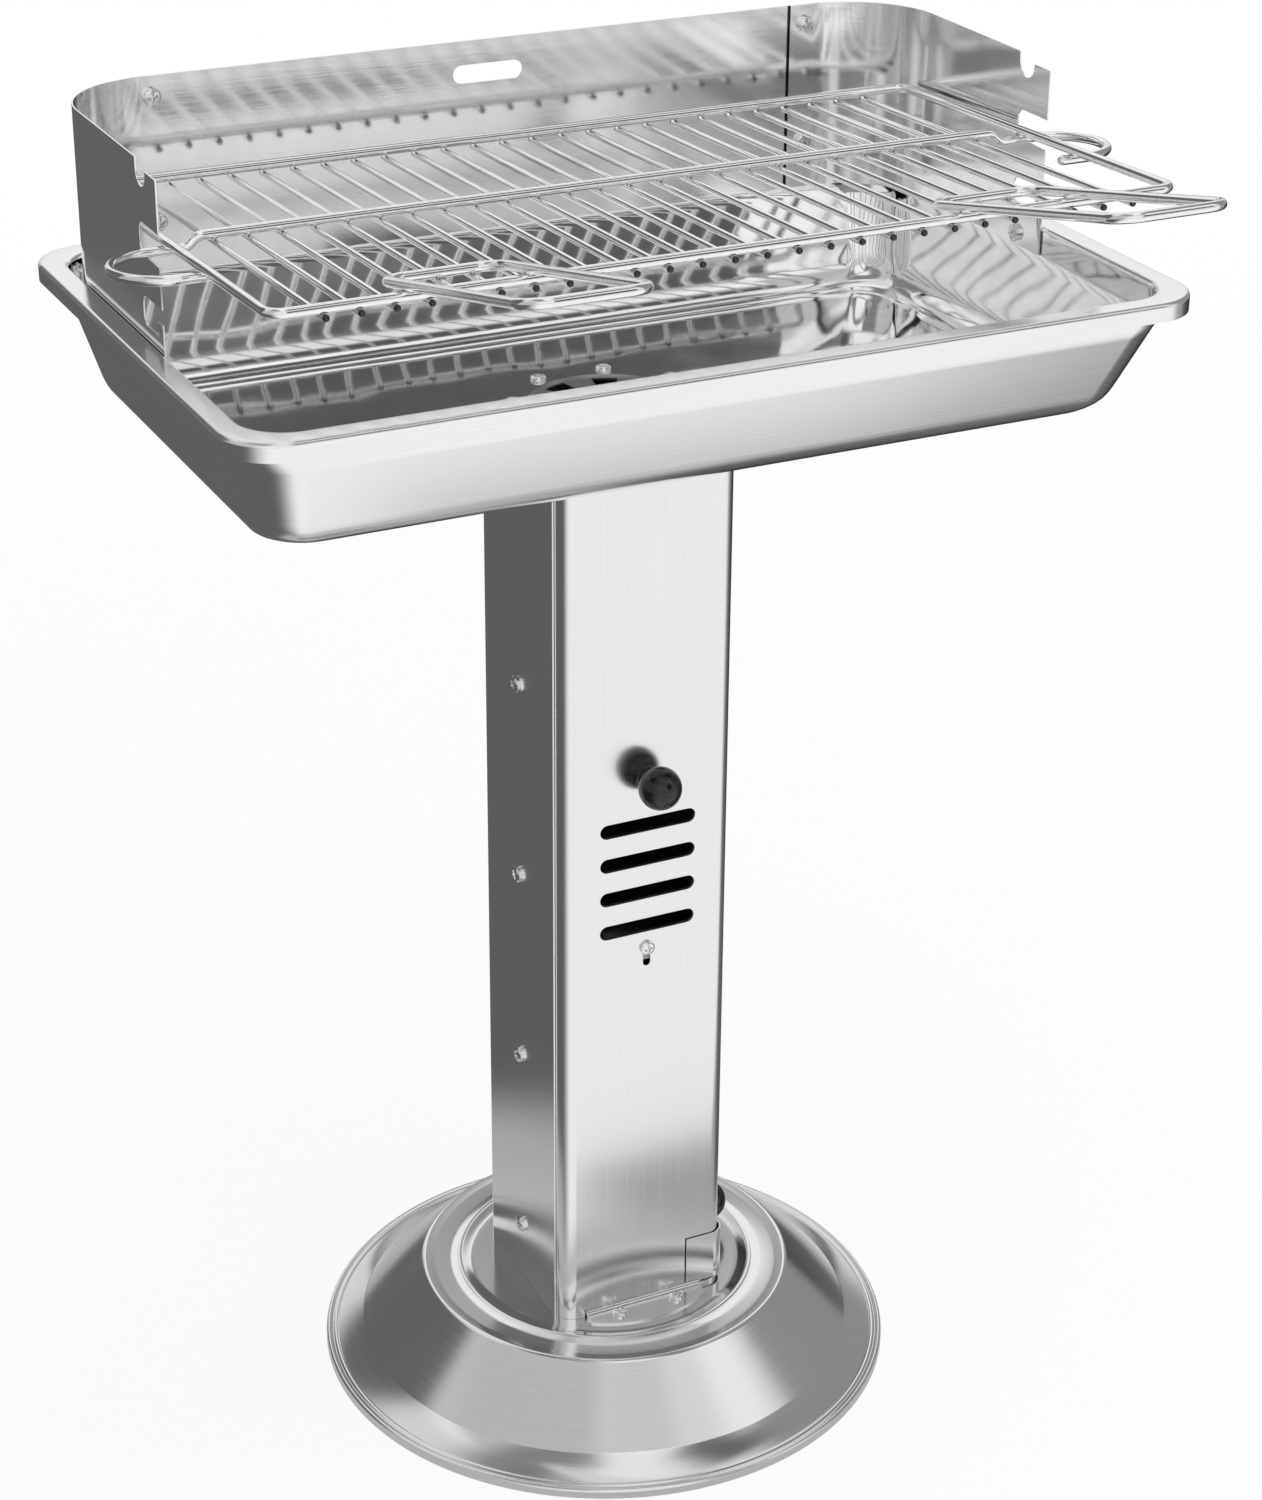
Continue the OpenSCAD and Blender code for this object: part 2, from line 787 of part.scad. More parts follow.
module ash_tray() {
    length = tray_end - tray_start;
    runner = tray_width / 12;
    color("silver")
        difference() {
            union() {
                translate([tray_start, -tray_width / 2, drawer_floor])
                    cube([length, tray_width, tray_height]);
                for (y = [-1, 1])
                    translate([tray_start + runner, y * tray_width / 3 - runner / 2, disc_top + seat])
                        cube([length * runner_length_share - runner, runner,
                              drawer_floor - disc_top - seat + tray_sheet / 2]);
            }
            translate([tray_start + tray_sheet, -tray_width / 2 + tray_sheet, drawer_floor + tray_sheet])
                cube([length - 2 * tray_sheet, tray_width - 2 * tray_sheet, tray_height]);
            drawer_stud_hole();
        }
}

module drawer_stud_hole() {
    translate([drawer_face, 0, drawer_knob_height])
        rotate([0, 90, 0])
            cylinder(d = stud_diameter + 2 * hole_fit, h = column_corner, center = true);
}

module ash_drawer_front() {
    color("gainsboro")
        difference() {
            intersection() {
                translate([0, 0, drawer_floor])
                    wall(2 * drawer_face, column_depth, column_corner, column_sheet,
                         drawer_ceiling - drawer_floor);
                translate([drawer_edge, -column_depth, 0])
                    cube([column_depth, 2 * column_depth, rim_height]);
            }
            drawer_stud_hole();
        }
}

module ash_drawer_knob() {
    color("black")
        translate([drawer_face, 0, drawer_knob_height])
            rotate([0, 90, 0])
                ball_knob(knob_stand_off + knob_diameter / 2);
}

module ash_drawer_stud() {
    color("silver")
        translate([tray_end - tray_sheet, 0, drawer_knob_height])
            rotate([0, 90, 0])
                knob_stud(tray_sheet + column_sheet, knob_stand_off + knob_diameter / 2 - seat);
}

// Draught plate

module draught_plate() {
    color("dimgray")
        difference() {
            translate([0, 0, column_top])
                linear_extrude(draught_sheet)
                    rounded(column_width - 2 * column_sheet, column_depth - 2 * column_sheet, column_corner);
            for (i = [0 : wedge_count - 1])
                rotate([0, 0, (i + 0.5) * 360 / wedge_count - wedge_angle / 2])
                    translate([0, 0, column_top - cut])
                        rotate_extrude(angle = wedge_angle)
                            translate([wedge_inner, 0])
                                square([wedge_outer - wedge_inner, draught_sheet + 2 * cut]);
            bowl_screw_holes();
        }
}

// Fire bowl: a loft from the floor up to the rim, inside and outside, with a flat rim and a skirt

// Inset of the wall at a depth below the rim: upright band, leaning face, then the floor's round edge
function wall_inset(depth, reach, thickness) =
    let (drop = bowl_height - floor_round - wall_band,
         radius = floor_round - thickness,
         run = reach - thickness,
         lean = atan2(run, drop) - asin(radius / norm([run, drop])),
         below = depth - wall_band,
         under = below - drop)
    below <= 0 ? thickness
    : under <= radius * sin(lean) ? thickness + below * tan(lean)
    : reach - sqrt(max(0, radius ^ 2 - under ^ 2));

// One ring of points round a rounded rectangle
function ring(half_x, half_y, corner, height) =
    [for (quarter = [0 : 3], i = [0 : corner_steps])
        let (a = quarter * 90 + 90 * i / corner_steps,
             x = (quarter == 0 || quarter == 3) ? 1 : -1,
             y = quarter < 2 ? 1 : -1)
        [x * (half_x - corner) + corner * cos(a), y * (half_y - corner) + corner * sin(a), height]];

// The bowl's form, drawn in by a thickness and raised at its mouth
module bowl_form(thickness, raise) {
    edge = bowl_height - floor_round;
    depths = concat(
        [for (share = floor_edge_shares) edge + (floor_round - thickness) * sin(90 * share)],
        [wall_band, -raise]);
    loft([for (depth = depths)
        let (corner = bowl_corner_top + (bowl_corner_floor - bowl_corner_top) * max(0, depth) / bowl_height)
        ring(wall_x - wall_inset(depth, floor_inset_ends, thickness),
             wall_y - wall_inset(depth, floor_inset_sides, thickness),
             corner - thickness, rim_height - depth)]);
}

module fire_bowl() {
    color("lightgray")
        difference() {
            union() {
                bowl_form(0, 0);
                translate([0, 0, rim_height - rim_skirt])
                    wall(bowl_length, bowl_depth, rim_corner, bowl_sheet, rim_skirt);
                translate([0, 0, rim_height - bowl_sheet])
                    linear_extrude(bowl_sheet)
                        rounded(bowl_length, bowl_depth, rim_corner);
            }
            bowl_form(bowl_sheet, cut);
            translate([0, 0, bowl_underside - cut])
                cylinder(r = floor_hole_radius, h = bowl_sheet + 2 * cut);
            bowl_screw_holes();
            shield_mount_holes();
        }
}

module bowl_screws() {
    color("silver")
        bowl_screw_places()
            pan_screw(small_screw_diameter, small_screw_head, small_screw_head_height,
                      bowl_sheet + draught_sheet + column_sheet + small_nut_height + screw_end);
}

module bowl_nuts() {
    color("silver")
        bowl_screw_places()
            translate([0, 0, -bowl_sheet - draught_sheet - column_sheet])
                nut(small_nut_width, small_nut_height, small_screw_diameter + 2 * hole_fit);
}

// Wind shield

module at_shield_mounts() {
    for (side = [-1, 1])
        translate([side * (shield_x - shield_sheet), 0, mount_screw_z])
            rotate([0, -side * 90, 0])
                children();
}

module shield_mount_holes() {
    at_shield_mounts()
        cylinder(d = screw_diameter + 2 * hole_fit, h = column_corner, center = true);
}

module at_shield_joints() {
    for (side = [-1, 1], z = [shield_top - joint_screw_drop, rim_height + joint_screw_drop])
        translate([side * joint_screw_x, shield_y - shield_sheet, z])
            rotate([90, 0, 0])
                children();
}

module shield_joint_holes() {
    at_shield_joints()
        cylinder(d = screw_diameter + 2 * hole_fit, h = column_corner, center = true);
}

// Side outline of a panel, seen along X: Y across and Z up, cut from a plain sheet
module panel_cuts() {
    far = 2 * wall_x;
    front = -shield_front;
    rotate([90, 0, 90])
        linear_extrude(2 * far, center = true) {
            translate([front - far, shield_bottom - cut])
                square([far, shield_top]);
            translate([front - cut, shield_top - tab_drop])
                square([notch_y - front + cut, tab_drop + cut]);
            translate([notch_y, notch_floor + notch_radius])
                circle(notch_radius);
            translate([notch_y - notch_radius, notch_floor + notch_radius])
                square([2 * notch_radius, shield_top]);
            grate_slot(upper_slot_floor, upper_slot_height, 0);
            grate_slot(lower_slot_floor, lower_slot_height, slot_lip);
        }
}

// Slot open to the front, with a round rear end and an optional lip at its mouth
module grate_slot(floor_z, height, lip) {
    front = -shield_front;
    round = height / 3;
    translate([front - cut, floor_z + lip])
        square([cut + 2 * lip, height - lip]);
    translate([front + lip, floor_z])
        square([grate_slot_depth - lip - round, height]);
    translate([front + lip, floor_z + round])
        square([grate_slot_depth - lip, height - 2 * round]);
    for (z = [floor_z + round, floor_z + height - round])
        translate([slot_end_y - round, z])
            circle(round);
}

module side_panel() {
    difference() {
        translate([0, 0, shield_bottom])
            wall(2 * shield_x, 2 * shield_y, shield_corner, shield_sheet, shield_top - shield_bottom);
        translate([-side_panel_end, -2 * wall_y, 0])
            cube([4 * wall_x, 4 * wall_y, 2 * rim_height]);
        panel_cuts();
        shield_mount_holes();
        shield_joint_holes();
    }
}

module shield_left() {
    color("silver")
        side_panel();
}

module shield_right() {
    color("silver")
        mirror([1, 0, 0])
            side_panel();
}

module shield_back() {
    color("silver")
        difference() {
            translate([-back_panel_end, shield_y, shield_bottom])
                cube([2 * back_panel_end, shield_sheet, shield_top - shield_bottom]);
            translate([-hand_slot_offset, shield_y, shield_top - hand_slot_drop])
                slot_cut(hand_slot_length - hand_slot_height, hand_slot_height, column_corner);
            shield_joint_holes();
        }
}

module shield_joint_screws() {
    color("silver")
        at_shield_joints()
            pan_screw(screw_diameter, screw_head, screw_head_height,
                      2 * shield_sheet + nut_height + screw_end);
}

module shield_joint_nuts() {
    color("silver")
        at_shield_joints()
            translate([0, 0, -2 * shield_sheet])
                nut(nut_width, nut_height, screw_diameter + 2 * hole_fit);
}

module shield_mount_screws() {
    color("silver")
        at_shield_mounts()
            pan_screw(screw_diameter, screw_head, screw_head_height,
                      shield_sheet + shield_clearance + bowl_sheet + nut_height + screw_end);
}

module shield_mount_nuts() {
    color("silver")
        at_shield_mounts()
            translate([0, 0, -shield_sheet - shield_clearance - bowl_sheet])
                nut(nut_width, nut_height, screw_diameter + 2 * hole_fit);
}

// Grate

module grate_frame() {
    half = grate_width / 2;
    color("silver")
        on_grate() {
            for (y = [front_wire_y, rear_wire_y])
                wire([-half + wire_bend, y, 0], [half - wire_bend, y, 0], frame_wire);
            for (x = [-half, half])
                wire([x, front_wire_y + wire_bend, 0], [x, rear_wire_y - wire_bend, 0], frame_wire);
            for (side = [-1, 1]) {
                bend([side * (half - wire_bend), front_wire_y + wire_bend, 0], wire_bend,
                     side > 0 ? 270 : 180, 90, frame_wire);
                bend([side * (half - wire_bend), rear_wire_y - wire_bend, 0], wire_bend,
                     side > 0 ? 0 : 90, 90, frame_wire);
            }
        }
}

// Right half of the cross wire's path: straight, down under the side wire, then round the loop
function cross_wire_half() =
    let (down = arc([dip_start, -wire_bend], wire_bend, 90, 90 - dip_angle, 4),
         level = arc([dip_start + dip_run, loop_z + wire_bend], wire_bend, 270 - dip_angle, 270, 4),
         loop = arc([shield_x, -loop_radius], loop_radius, 90, -90, 14))
    concat(
        [for (p = down) [p[0], 0, p[1]]],
        [for (i = [1 : len(level) - 1]) [level[i][0], 0, level[i][1]]],
        [for (p = loop) [p[0], p[1], loop_z]],
        [[grate_width / 2 - frame_wire, -2 * loop_radius, loop_z]]);

// Cross wire: it dips under the side wires and bends into a loop outside each side panel
module grate_cross_wire() {
    half = cross_wire_half();
    color("silver")
        on_grate()
            swept_wire(concat(
                [for (i = [len(half) - 1 : -1 : 0]) [-half[i][0], half[i][1], half[i][2]]],
                half), frame_wire);
}

module grate_rods() {
    color("silver")
        on_grate()
            for (k = [0 : rods_per_side - 1], side = [-1, 1]) {
                x = side * (k + 0.5) * rod_pitch;
                wire([x, front_wire_y - rod_overrun, rod_z], [x, rear_wire_y + rod_overrun, rod_z],
                     rod_diameter);
                tip([x, front_wire_y - rod_overrun, rod_z], rod_diameter);
                tip([x, rear_wire_y + rod_overrun, rod_z], rod_diameter);
            }
}

// Handle: cross-bar on the rods, two legs over the front wire and a rounded end
module grate_handle() {
    half = handle_width / 2;
    run = handle_length - handle_corner;
    pitch = asin(handle_rise / handle_length);
    on_grate()
        translate([0, handle_y, 0])
            rotate([-pitch + grate_slope, 0, 0]) {
                wire([-half + handle_corner, 0, 0], [half - handle_corner, 0, 0], frame_wire);
                wire([-half + handle_corner, -handle_length, 0], [half - handle_corner, -handle_length, 0],
                     frame_wire);
                for (side = [-1, 1]) {
                    wire([side * half, -handle_corner, 0], [side * half, -run, 0], frame_wire);
                    bend([side * (half - handle_corner), -handle_corner, 0], handle_corner,
                         side > 0 ? 0 : 90, 90, frame_wire);
                    bend([side * (half - handle_corner), -run, 0], handle_corner,
                         side > 0 ? 270 : 180, 90, frame_wire);
                }
            }
}

module grate_handle_left() {
    color("silver")
        translate([-handle_offset, 0, 0])
            grate_handle();
}

module grate_handle_right() {
    color("silver")
        translate([handle_offset, 0, 0])
            grate_handle();
}

base_dish();
base_screws();
base_nuts();
column_front();
column_back();
column_screws();
column_nuts();
damper_plate();
damper_knob();
damper_stud();
damper_guide_screw();
ash_tray();
ash_drawer_front();
ash_drawer_knob();
ash_drawer_stud();
draught_plate();
fire_bowl();
bowl_screws();
bowl_nuts();
shield_left();
shield_right();
shield_back();
shield_joint_screws();
shield_joint_nuts();
shield_mount_screws();
shield_mount_nuts();
grate_frame();
grate_cross_wire();
grate_rods();
grate_handle_left();
grate_handle_right();
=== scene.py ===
"""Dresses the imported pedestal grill: studio, metals and the modelled pieces that show."""

import json
import math

import bmesh
import bpy
from mathutils import Matrix, Vector
from mathutils.geometry import delaunay_2d_cdt

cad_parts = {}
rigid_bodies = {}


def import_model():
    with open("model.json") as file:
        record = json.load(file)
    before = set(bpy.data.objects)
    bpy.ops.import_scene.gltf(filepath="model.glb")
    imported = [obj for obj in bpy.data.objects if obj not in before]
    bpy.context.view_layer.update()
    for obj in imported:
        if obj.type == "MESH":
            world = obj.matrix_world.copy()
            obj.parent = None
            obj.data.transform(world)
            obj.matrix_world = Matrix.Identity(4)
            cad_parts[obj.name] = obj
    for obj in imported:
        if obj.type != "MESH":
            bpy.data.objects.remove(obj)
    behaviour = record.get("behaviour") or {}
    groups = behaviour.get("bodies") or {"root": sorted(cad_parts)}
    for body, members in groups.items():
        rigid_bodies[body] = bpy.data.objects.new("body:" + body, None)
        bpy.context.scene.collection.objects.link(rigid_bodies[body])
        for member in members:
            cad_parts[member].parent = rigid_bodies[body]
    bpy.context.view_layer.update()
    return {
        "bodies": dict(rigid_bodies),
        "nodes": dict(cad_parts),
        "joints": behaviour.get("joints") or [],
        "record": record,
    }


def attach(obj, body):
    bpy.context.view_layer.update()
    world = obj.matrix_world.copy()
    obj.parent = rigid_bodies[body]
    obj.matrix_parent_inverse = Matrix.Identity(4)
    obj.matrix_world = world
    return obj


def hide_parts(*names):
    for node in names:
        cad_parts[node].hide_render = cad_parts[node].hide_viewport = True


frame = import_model()
nodes = frame["nodes"]
MM = 0.001  # metres
DEGREES = 57.3  # in a radian


def put_in_scene(name, data):
    obj = bpy.data.objects.new(name, data)
    bpy.context.scene.collection.objects.link(obj)
    return obj


# Camera
# It stands in front and to the left of the grill, about two metres off, and looks down at it.
# The lens and the small shift put the grill where the photograph has it.

CAMERA_PLACE = Vector((-0.8056, -1.6757, 1.3469))
CAMERA_AIM = Vector((0.0138, -0.0068, 0.4462))
CAMERA_ROLL = math.radians(0.47)

camera = put_in_scene("camera", bpy.data.cameras.new("camera"))
bpy.context.scene.camera = camera
camera.data.sensor_fit = "VERTICAL"
camera.data.sensor_height = 36
camera.data.lens = 78.49
camera.data.shift_y = -0.0066
ahead = (CAMERA_AIM - CAMERA_PLACE).normalized()
level = ahead.cross(Vector((0, 0, 1))).normalized()
right = level * math.cos(CAMERA_ROLL) + level.cross(ahead) * math.sin(CAMERA_ROLL)
turn = Matrix((right, right.cross(ahead), -ahead)).transposed()
camera.matrix_world = Matrix.Translation(CAMERA_PLACE) @ turn.to_4x4()

# Shader arithmetic
# A varying value over a surface. Its operators add Math nodes, so a pattern reads as a formula.


class Value:
    def __init__(self, tree, socket):
        self.tree = tree
        self.socket = socket

    def node(self, kind, *inputs, operation=None):
        made = self.tree.nodes.new(kind)
        if operation:
            made.operation = operation
        for socket, value in zip(made.inputs, inputs):
            if isinstance(value, Value):
                value.to(socket)
            else:
                socket.default_value = value
        return made

    def math(self, operation, *others):
        return Value(self.tree, self.node("ShaderNodeMath", self, *others, operation=operation).outputs[0])

    def __add__(self, other):
        return self.math("ADD", other)

    def __sub__(self, other):
        return self.math("SUBTRACT", other)

    def __mul__(self, other):
        return self.math("MULTIPLY", other)

    def smooth(self, low, high, to_low=0.0, to_high=1.0):
        made = self.node("ShaderNodeMapRange", self, low, high, to_low, to_high)
        made.interpolation_type = "SMOOTHSTEP"
        return Value(self.tree, made.outputs[0])

    def to(self, socket):
        self.tree.links.new(self.socket, socket)

    def tint(self, socket, dark=0.0, bright=1.0):
        """Gives a colour input the grey between two that this value picks."""
        made = self.tree.nodes.new("ShaderNodeMix")
        made.data_type = "RGBA"
        self.to(made.inputs["Factor"])
        made.inputs["A"].default_value = (dark, dark, dark, 1)
        made.inputs["B"].default_value = (bright, bright, bright, 1)
        self.tree.links.new(made.outputs["Result"], socket)


def between(value, low, high, soft=5):
    """One from low to high and zero outside, with soft edges."""
    return value.smooth(low - soft, low + soft) * value.smooth(high - soft, high + soft, 1, 0)


def paint(tone, mask, grey):
    return tone + (tone * -1 + grey) * mask


def new_tree(owner):
    owner.use_nodes = True
    owner.node_tree.nodes.clear()
    return owner.node_tree


def axes(tree, kind="Object"):
    """The three coordinates of a point, as Values."""
    place = tree.nodes.new("ShaderNodeTexCoord").outputs[kind]
    parts = tree.nodes.new("ShaderNodeSeparateXYZ")
    tree.links.new(place, parts.inputs[0])
    return [Value(tree, out) for out in parts.outputs]


def light_path(tree, ray):
    return Value(tree, tree.nodes.new("ShaderNodeLightPath").outputs[ray])


def plain_shader(tree, kind, tone):
    """A shader of one grey, which is a number or a Value."""
    made = tree.nodes.new(kind)
    if isinstance(tone, Value):
        tone.tint(made.inputs["Color"])
    else:
        made.inputs["Color"].default_value = (tone, tone, tone, 1)
    return made


def mix_shaders(tree, factor, first, second):
    made = tree.nodes.new("ShaderNodeMixShader")
    factor.to(made.inputs[0])
    tree.links.new(first.outputs[0], made.inputs[1])
    tree.links.new(second.outputs[0], made.inputs[2])
    return made


def put_out(tree, shader, kind="ShaderNodeOutputMaterial"):
    out = tree.nodes.new(kind)
    tree.links.new(shader.outputs[0], out.inputs[0])


# Studio
# White surroundings. Metal sees a room in them instead: pale and dark zones in the air, a floor with
# painted light in front and painted shadow round the base, and a dark screen behind the grill. Three soft
# lamps stand round the grill.

ROOM = [
    # side of the grill, degrees from there towards +X, degrees up, grey
    ("back", (-66, -10), (-4, 43), 0.13),
    ("back", (2, 50), (14, 52), 0.95),
    ("back", (-125, -68), (-4, 33), 0.5),
    ("back", (-118, -64), (35, 62), 0.52),
    ("back", (-62, -54), (38, 60), 0.95),
    ("back", (-150, -25), (64, 82), 0.22),
    ("back", (52, 113), (-4, 60), 0.28),
    ("front", (-80, -28), (43, 62), 0.52),
    ("front", (34, 82), (57, 72), 0.1),
    ("front", (38, 60), (32, 52), 0.95),
    ("front", (-42, 14), (12, 42), 0.95),
    ("front", (-24, 14), (42, 57), 0.62),
    ("front", (-24, 14), (58, 74), 0.95),
    ("front", (14, 42), (12, 37), 0.1),
]
AIR_LIGHT = 0.6
FLOOR_GREY = 0.94
FLOOR_REACH = 9
FLAG_FROM, FLAG_TO = (0.16, 1.05), (0.6, 0.88)
FLAG_LOW, FLAG_HIGH = 0.3, 1.05


def make_world():
    world = bpy.data.worlds.new("studio")
    bpy.context.scene.world = world
    tree = new_tree(world)
    x, y, z = axes(tree, "Generated")
    turned = {"back": x.math("ARCTAN2", y) * DEGREES, "front": x.math("ARCTAN2", y * -1) * DEGREES}
    up = z.math("ARCSINE") * DEGREES
    tone = up.smooth(60, 72, 0.75, 0.92)
    for side, across, lift, grey in ROOM:
        tone = paint(tone, between(turned[side], *across) * between(up, *lift), grey)
    seen, light, white = (plain_shader(tree, "ShaderNodeBackground", grey) for grey in (tone, AIR_LIGHT, 1))
    mirrored = light_path(tree, "Is Glossy Ray").math("MAXIMUM", light_path(tree, "Is Transmission Ray"))
    shown = mix_shaders(tree, mirrored, light, seen)
    shown = mix_shaders(tree, light_path(tree, "Is Camera Ray"), shown, white)
    put_out(tree, shown, "ShaderNodeOutputWorld")


def make_quad(name, finish, corners):
    """A flat object of four corners, and its material's tree."""
    mesh = bpy.data.meshes.new(name)
    mesh.from_pydata(corners, [], [(0, 1, 2, 3)])
    material = bpy.data.materials.new(finish)
    mesh.materials.append(material)
    return put_in_scene(name, mesh), new_tree(material)


def make_floor():
    """It takes the grill's shadow and fades to white. Metal sees painted tones on it instead: painted light
    in front and to the right, painted shadow round the base.
    """
    corners = [(x * FLOOR_REACH, y * FLOOR_REACH, 0) for x, y in ((-1, -1), (1, -1), (1, 1), (-1, 1))]
    floor, tree = make_quad("floor", "pale_floor", corners)
    x, y, z = axes(tree)
    turned = x.math("ARCTAN2", y * -1) * DEGREES
    away = (x * x + y * y).math("SQRT")
    # What glossy rays see on the floor is painted: painted light in front and to the right, painted shadow
    # beside and round the base.
    lit_in_front = turned.smooth(-75, -30) * turned.smooth(53, 71, 1, 0)
    lit_at_right = x.smooth(-0.1, 0.5) * y.smooth(0.0, 0.4, 1, 0)
    shade_right_of_base = y.smooth(-0.31, -0.285) * x.smooth(0.0, 0.1)
    shade_left_of_base = away.smooth(0.28, 0.38, 1, 0) * y.smooth(-0.15, -0.05) * x.smooth(-0.05, 0.05, 1, 0)
    tone = paint(lit_at_right * 0.22 + 0.12, lit_in_front, 0.97)
    tone = tone * (shade_right_of_base * -0.62 + 1)
    tone = paint(tone, shade_left_of_base, 0.45)
    tone = paint(tone, away.smooth(0.21, 0.27, 1, 0), 0.5)
    lit = plain_shader(tree, "ShaderNodeBsdfDiffuse", FLOOR_GREY)
    white, mirrored = (plain_shader(tree, "ShaderNodeEmission", grey) for grey in (1, tone))
    shown = mix_shaders(tree, light_path(tree, "Is Glossy Ray"), lit, mirrored)
    pale = mix_shaders(tree, away.smooth(0.5, 3.0, 0.88, 1.0), lit, white)
    shown = mix_shaders(tree, light_path(tree, "Is Camera Ray"), shown, pale)
    put_out(tree, shown)


def make_flag():
    """A dark screen behind the grill that only reflections show: the base mirrors it."""
    ends = ((FLAG_FROM, FLAG_LOW), (FLAG_TO, FLAG_LOW), (FLAG_TO, FLAG_HIGH), (FLAG_FROM, FLAG_HIGH))
    flag, tree = make_quad("flag", "dark_flag", [(*place, height) for place, height in ends])
    x, y, z = axes(tree)
    put_out(tree, plain_shader(tree, "ShaderNodeEmission", z.smooth(FLAG_LOW, FLAG_HIGH, 0.1, 0.5)))
    flag.visible_camera = False
    flag.visible_diffuse = False
    flag.visible_shadow = False
    flag.visible_transmission = False


def soft_lamp(name, place, size, power):
    """A broad lamp turned to the middle of the grill, which metal doesn't mirror."""
    lamp = bpy.data.lights.new(name, "AREA")
    lamp.shape = "RECTANGLE"
    lamp.size, lamp.size_y = size
    lamp.energy = power
    obj = put_in_scene(name, lamp)
    obj.location = place
    obj.rotation_mode = "QUATERNION"
    obj.rotation_quaternion = (Vector((0, 0, 0.5)) - Vector(place)).to_track_quat("-Z", "Y")
    obj.visible_glossy = False


bpy.context.scene.view_settings.view_transform = "Standard"
make_world()
make_floor()
make_flag()
soft_lamp("lamp_above", (0.3, -0.4, 2.8), (2.4, 1.8), 22)
soft_lamp("lamp_front", (0.9, -2.6, 1.3), (1.2, 1.8), 10)
soft_lamp("lamp_right", (2.4, -0.3, 1.4), (1.0, 1.8), 8)

# Metals and plastic
# Steel is brushed along one axis or polished with a slight wave; chrome is bright with faint wear.
# Noise scales are features a metre, and depths are metres.

LINES = 900


def surface(name, grey, metallic, roughness, coat=0.0, grain=0.0):
    """A material and what a pattern hooks into: its tree and shader."""
    material = bpy.data.materials.new(name)
    tree = new_tree(material)
    shader = tree.nodes.new("ShaderNodeBsdfPrincipled")
    for label, value in (("Base Color", (grey, grey, grey, 1)), ("Metallic", metallic),
                         ("Roughness", roughness), ("Coat Weight", coat), ("Anisotropic", grain)):
        shader.inputs[label].default_value = value
    put_out(tree, shader)
    return material, tree, shader


def noise(tree, scale, stretch=(1, 1, 1), detail=2.0):
    """Noise of so many features a metre, drawn out along an axis by a small share there."""
    place = tree.nodes.new("ShaderNodeTexCoord").outputs["Object"]
    fit = tree.nodes.new("ShaderNodeMapping")
    fit.inputs["Scale"].default_value = stretch
    tree.links.new(place, fit.inputs["Vector"])
    made = tree.nodes.new("ShaderNodeTexNoise")
    made.inputs["Scale"].default_value = scale
    made.inputs["Detail"].default_value = detail
    tree.links.new(fit.outputs[0], made.inputs["Vector"])
    return Value(tree, made.outputs["Fac"])


def bump(tree, shader, height, strength, depth):
    made = tree.nodes.new("ShaderNodeBump")
    made.inputs["Strength"].default_value = strength
    made.inputs["Distance"].default_value = depth
    height.to(made.inputs["Height"])
    tree.links.new(made.outputs[0], shader.inputs["Normal"])


def brushed_steel(name, grey, roughness, lines_of, grain=0.0, depth=0.0001, painted_shade=None):
    """Satin sheet steel with fine brush lines and painted shade, which functions of the tree give."""
    material, tree, shader = surface(name, grey, 1.0, roughness, grain=grain)
    lines = lines_of(tree)
    clouds = noise(tree, 9)
    shade = (lines * 0.6 + clouds * 0.4).smooth(0.3, 0.7, grey * 0.96, grey)
    # The mask paints shade here: the colour goes nearly black where it is one.
    if painted_shade:
        shade = shade * (painted_shade(tree) * -0.93 + 1)
    shade.tint(shader.inputs["Base Color"])
    (lines * 0.08 + clouds * 0.05 + (roughness - 0.065)).to(shader.inputs["Roughness"])
    bump(tree, shader, lines, 0.12, depth)
    return material


def polished_steel(name, grey, roughness, wave, depth, pitch):
    """Mirror-like sheet steel that rolling and pressing left slightly wavy."""
    material, tree, shader = surface(name, grey, 1.0, roughness)
    haze = noise(tree, 60)
    haze.smooth(0.3, 0.7).tint(shader.inputs["Base Color"], grey * 0.94, grey)
    (haze * 0.04 + (roughness - 0.02)).to(shader.inputs["Roughness"])
    bump(tree, shader, noise(tree, pitch, detail=1.0), wave, depth)
    return material


def chrome_wire(name, middle=None, way=None, half=None):
    """Bright plated wire with faint ripples from drawing. The sawn ends of straight wires are dull
    where their middle, way and half length are given."""
    material, tree, shader = surface(name, 0.92, 1.0, 0.08)
    ripple = noise(tree, 260)
    (ripple * 0.06 + 0.03).to(shader.inputs["Roughness"])
    tone = ripple * 0.12 + 0.84
    if way:
        x, y, z = axes(tree)
        along = (x * way.x + y * way.y + z * way.z - middle.dot(way)).math("ABSOLUTE")
        tone = tone * along.smooth(half - 0.0005, half - 0.0002, 1, 0.08)
    tone.tint(shader.inputs["Base Color"])
    bump(tree, shader, ripple, 0.1, 0.0003)
    return material


def black_plastic(name):
    """Moulded phenolic ball, glossy black with a fine orange-peel."""
    material, tree, shader = surface(name, 0.006, 0.0, 0.14, coat=0.1)
    peel = noise(tree, 420)
    (peel * 0.06 + 0.08).to(shader.inputs["Roughness"])
    peel.tint(shader.inputs["Base Color"], 0.004, 0.01)
    bump(tree, shader, peel, 0.05, 0.0002)
    return material


def straight(*stretch):
    return lambda tree: noise(tree, LINES, stretch)


def spun(tree):
    """Lines round the Z axis, as a lathe's polishing leaves them."""
    x, y, z = axes(tree)
    radius = (x * x + y * y).math("SQRT")
    spread = tree.nodes.new("ShaderNodeCombineXYZ")
    for socket, value in zip(spread.inputs, (radius * LINES, z * LINES, x * 6)):
        value.to(socket)
    made = tree.nodes.new("ShaderNodeTexNoise")
    made.inputs["Scale"].default_value = 1.0
    tree.links.new(spread.outputs[0], made.inputs["Vector"])
    return Value(tree, made.outputs["Fac"])


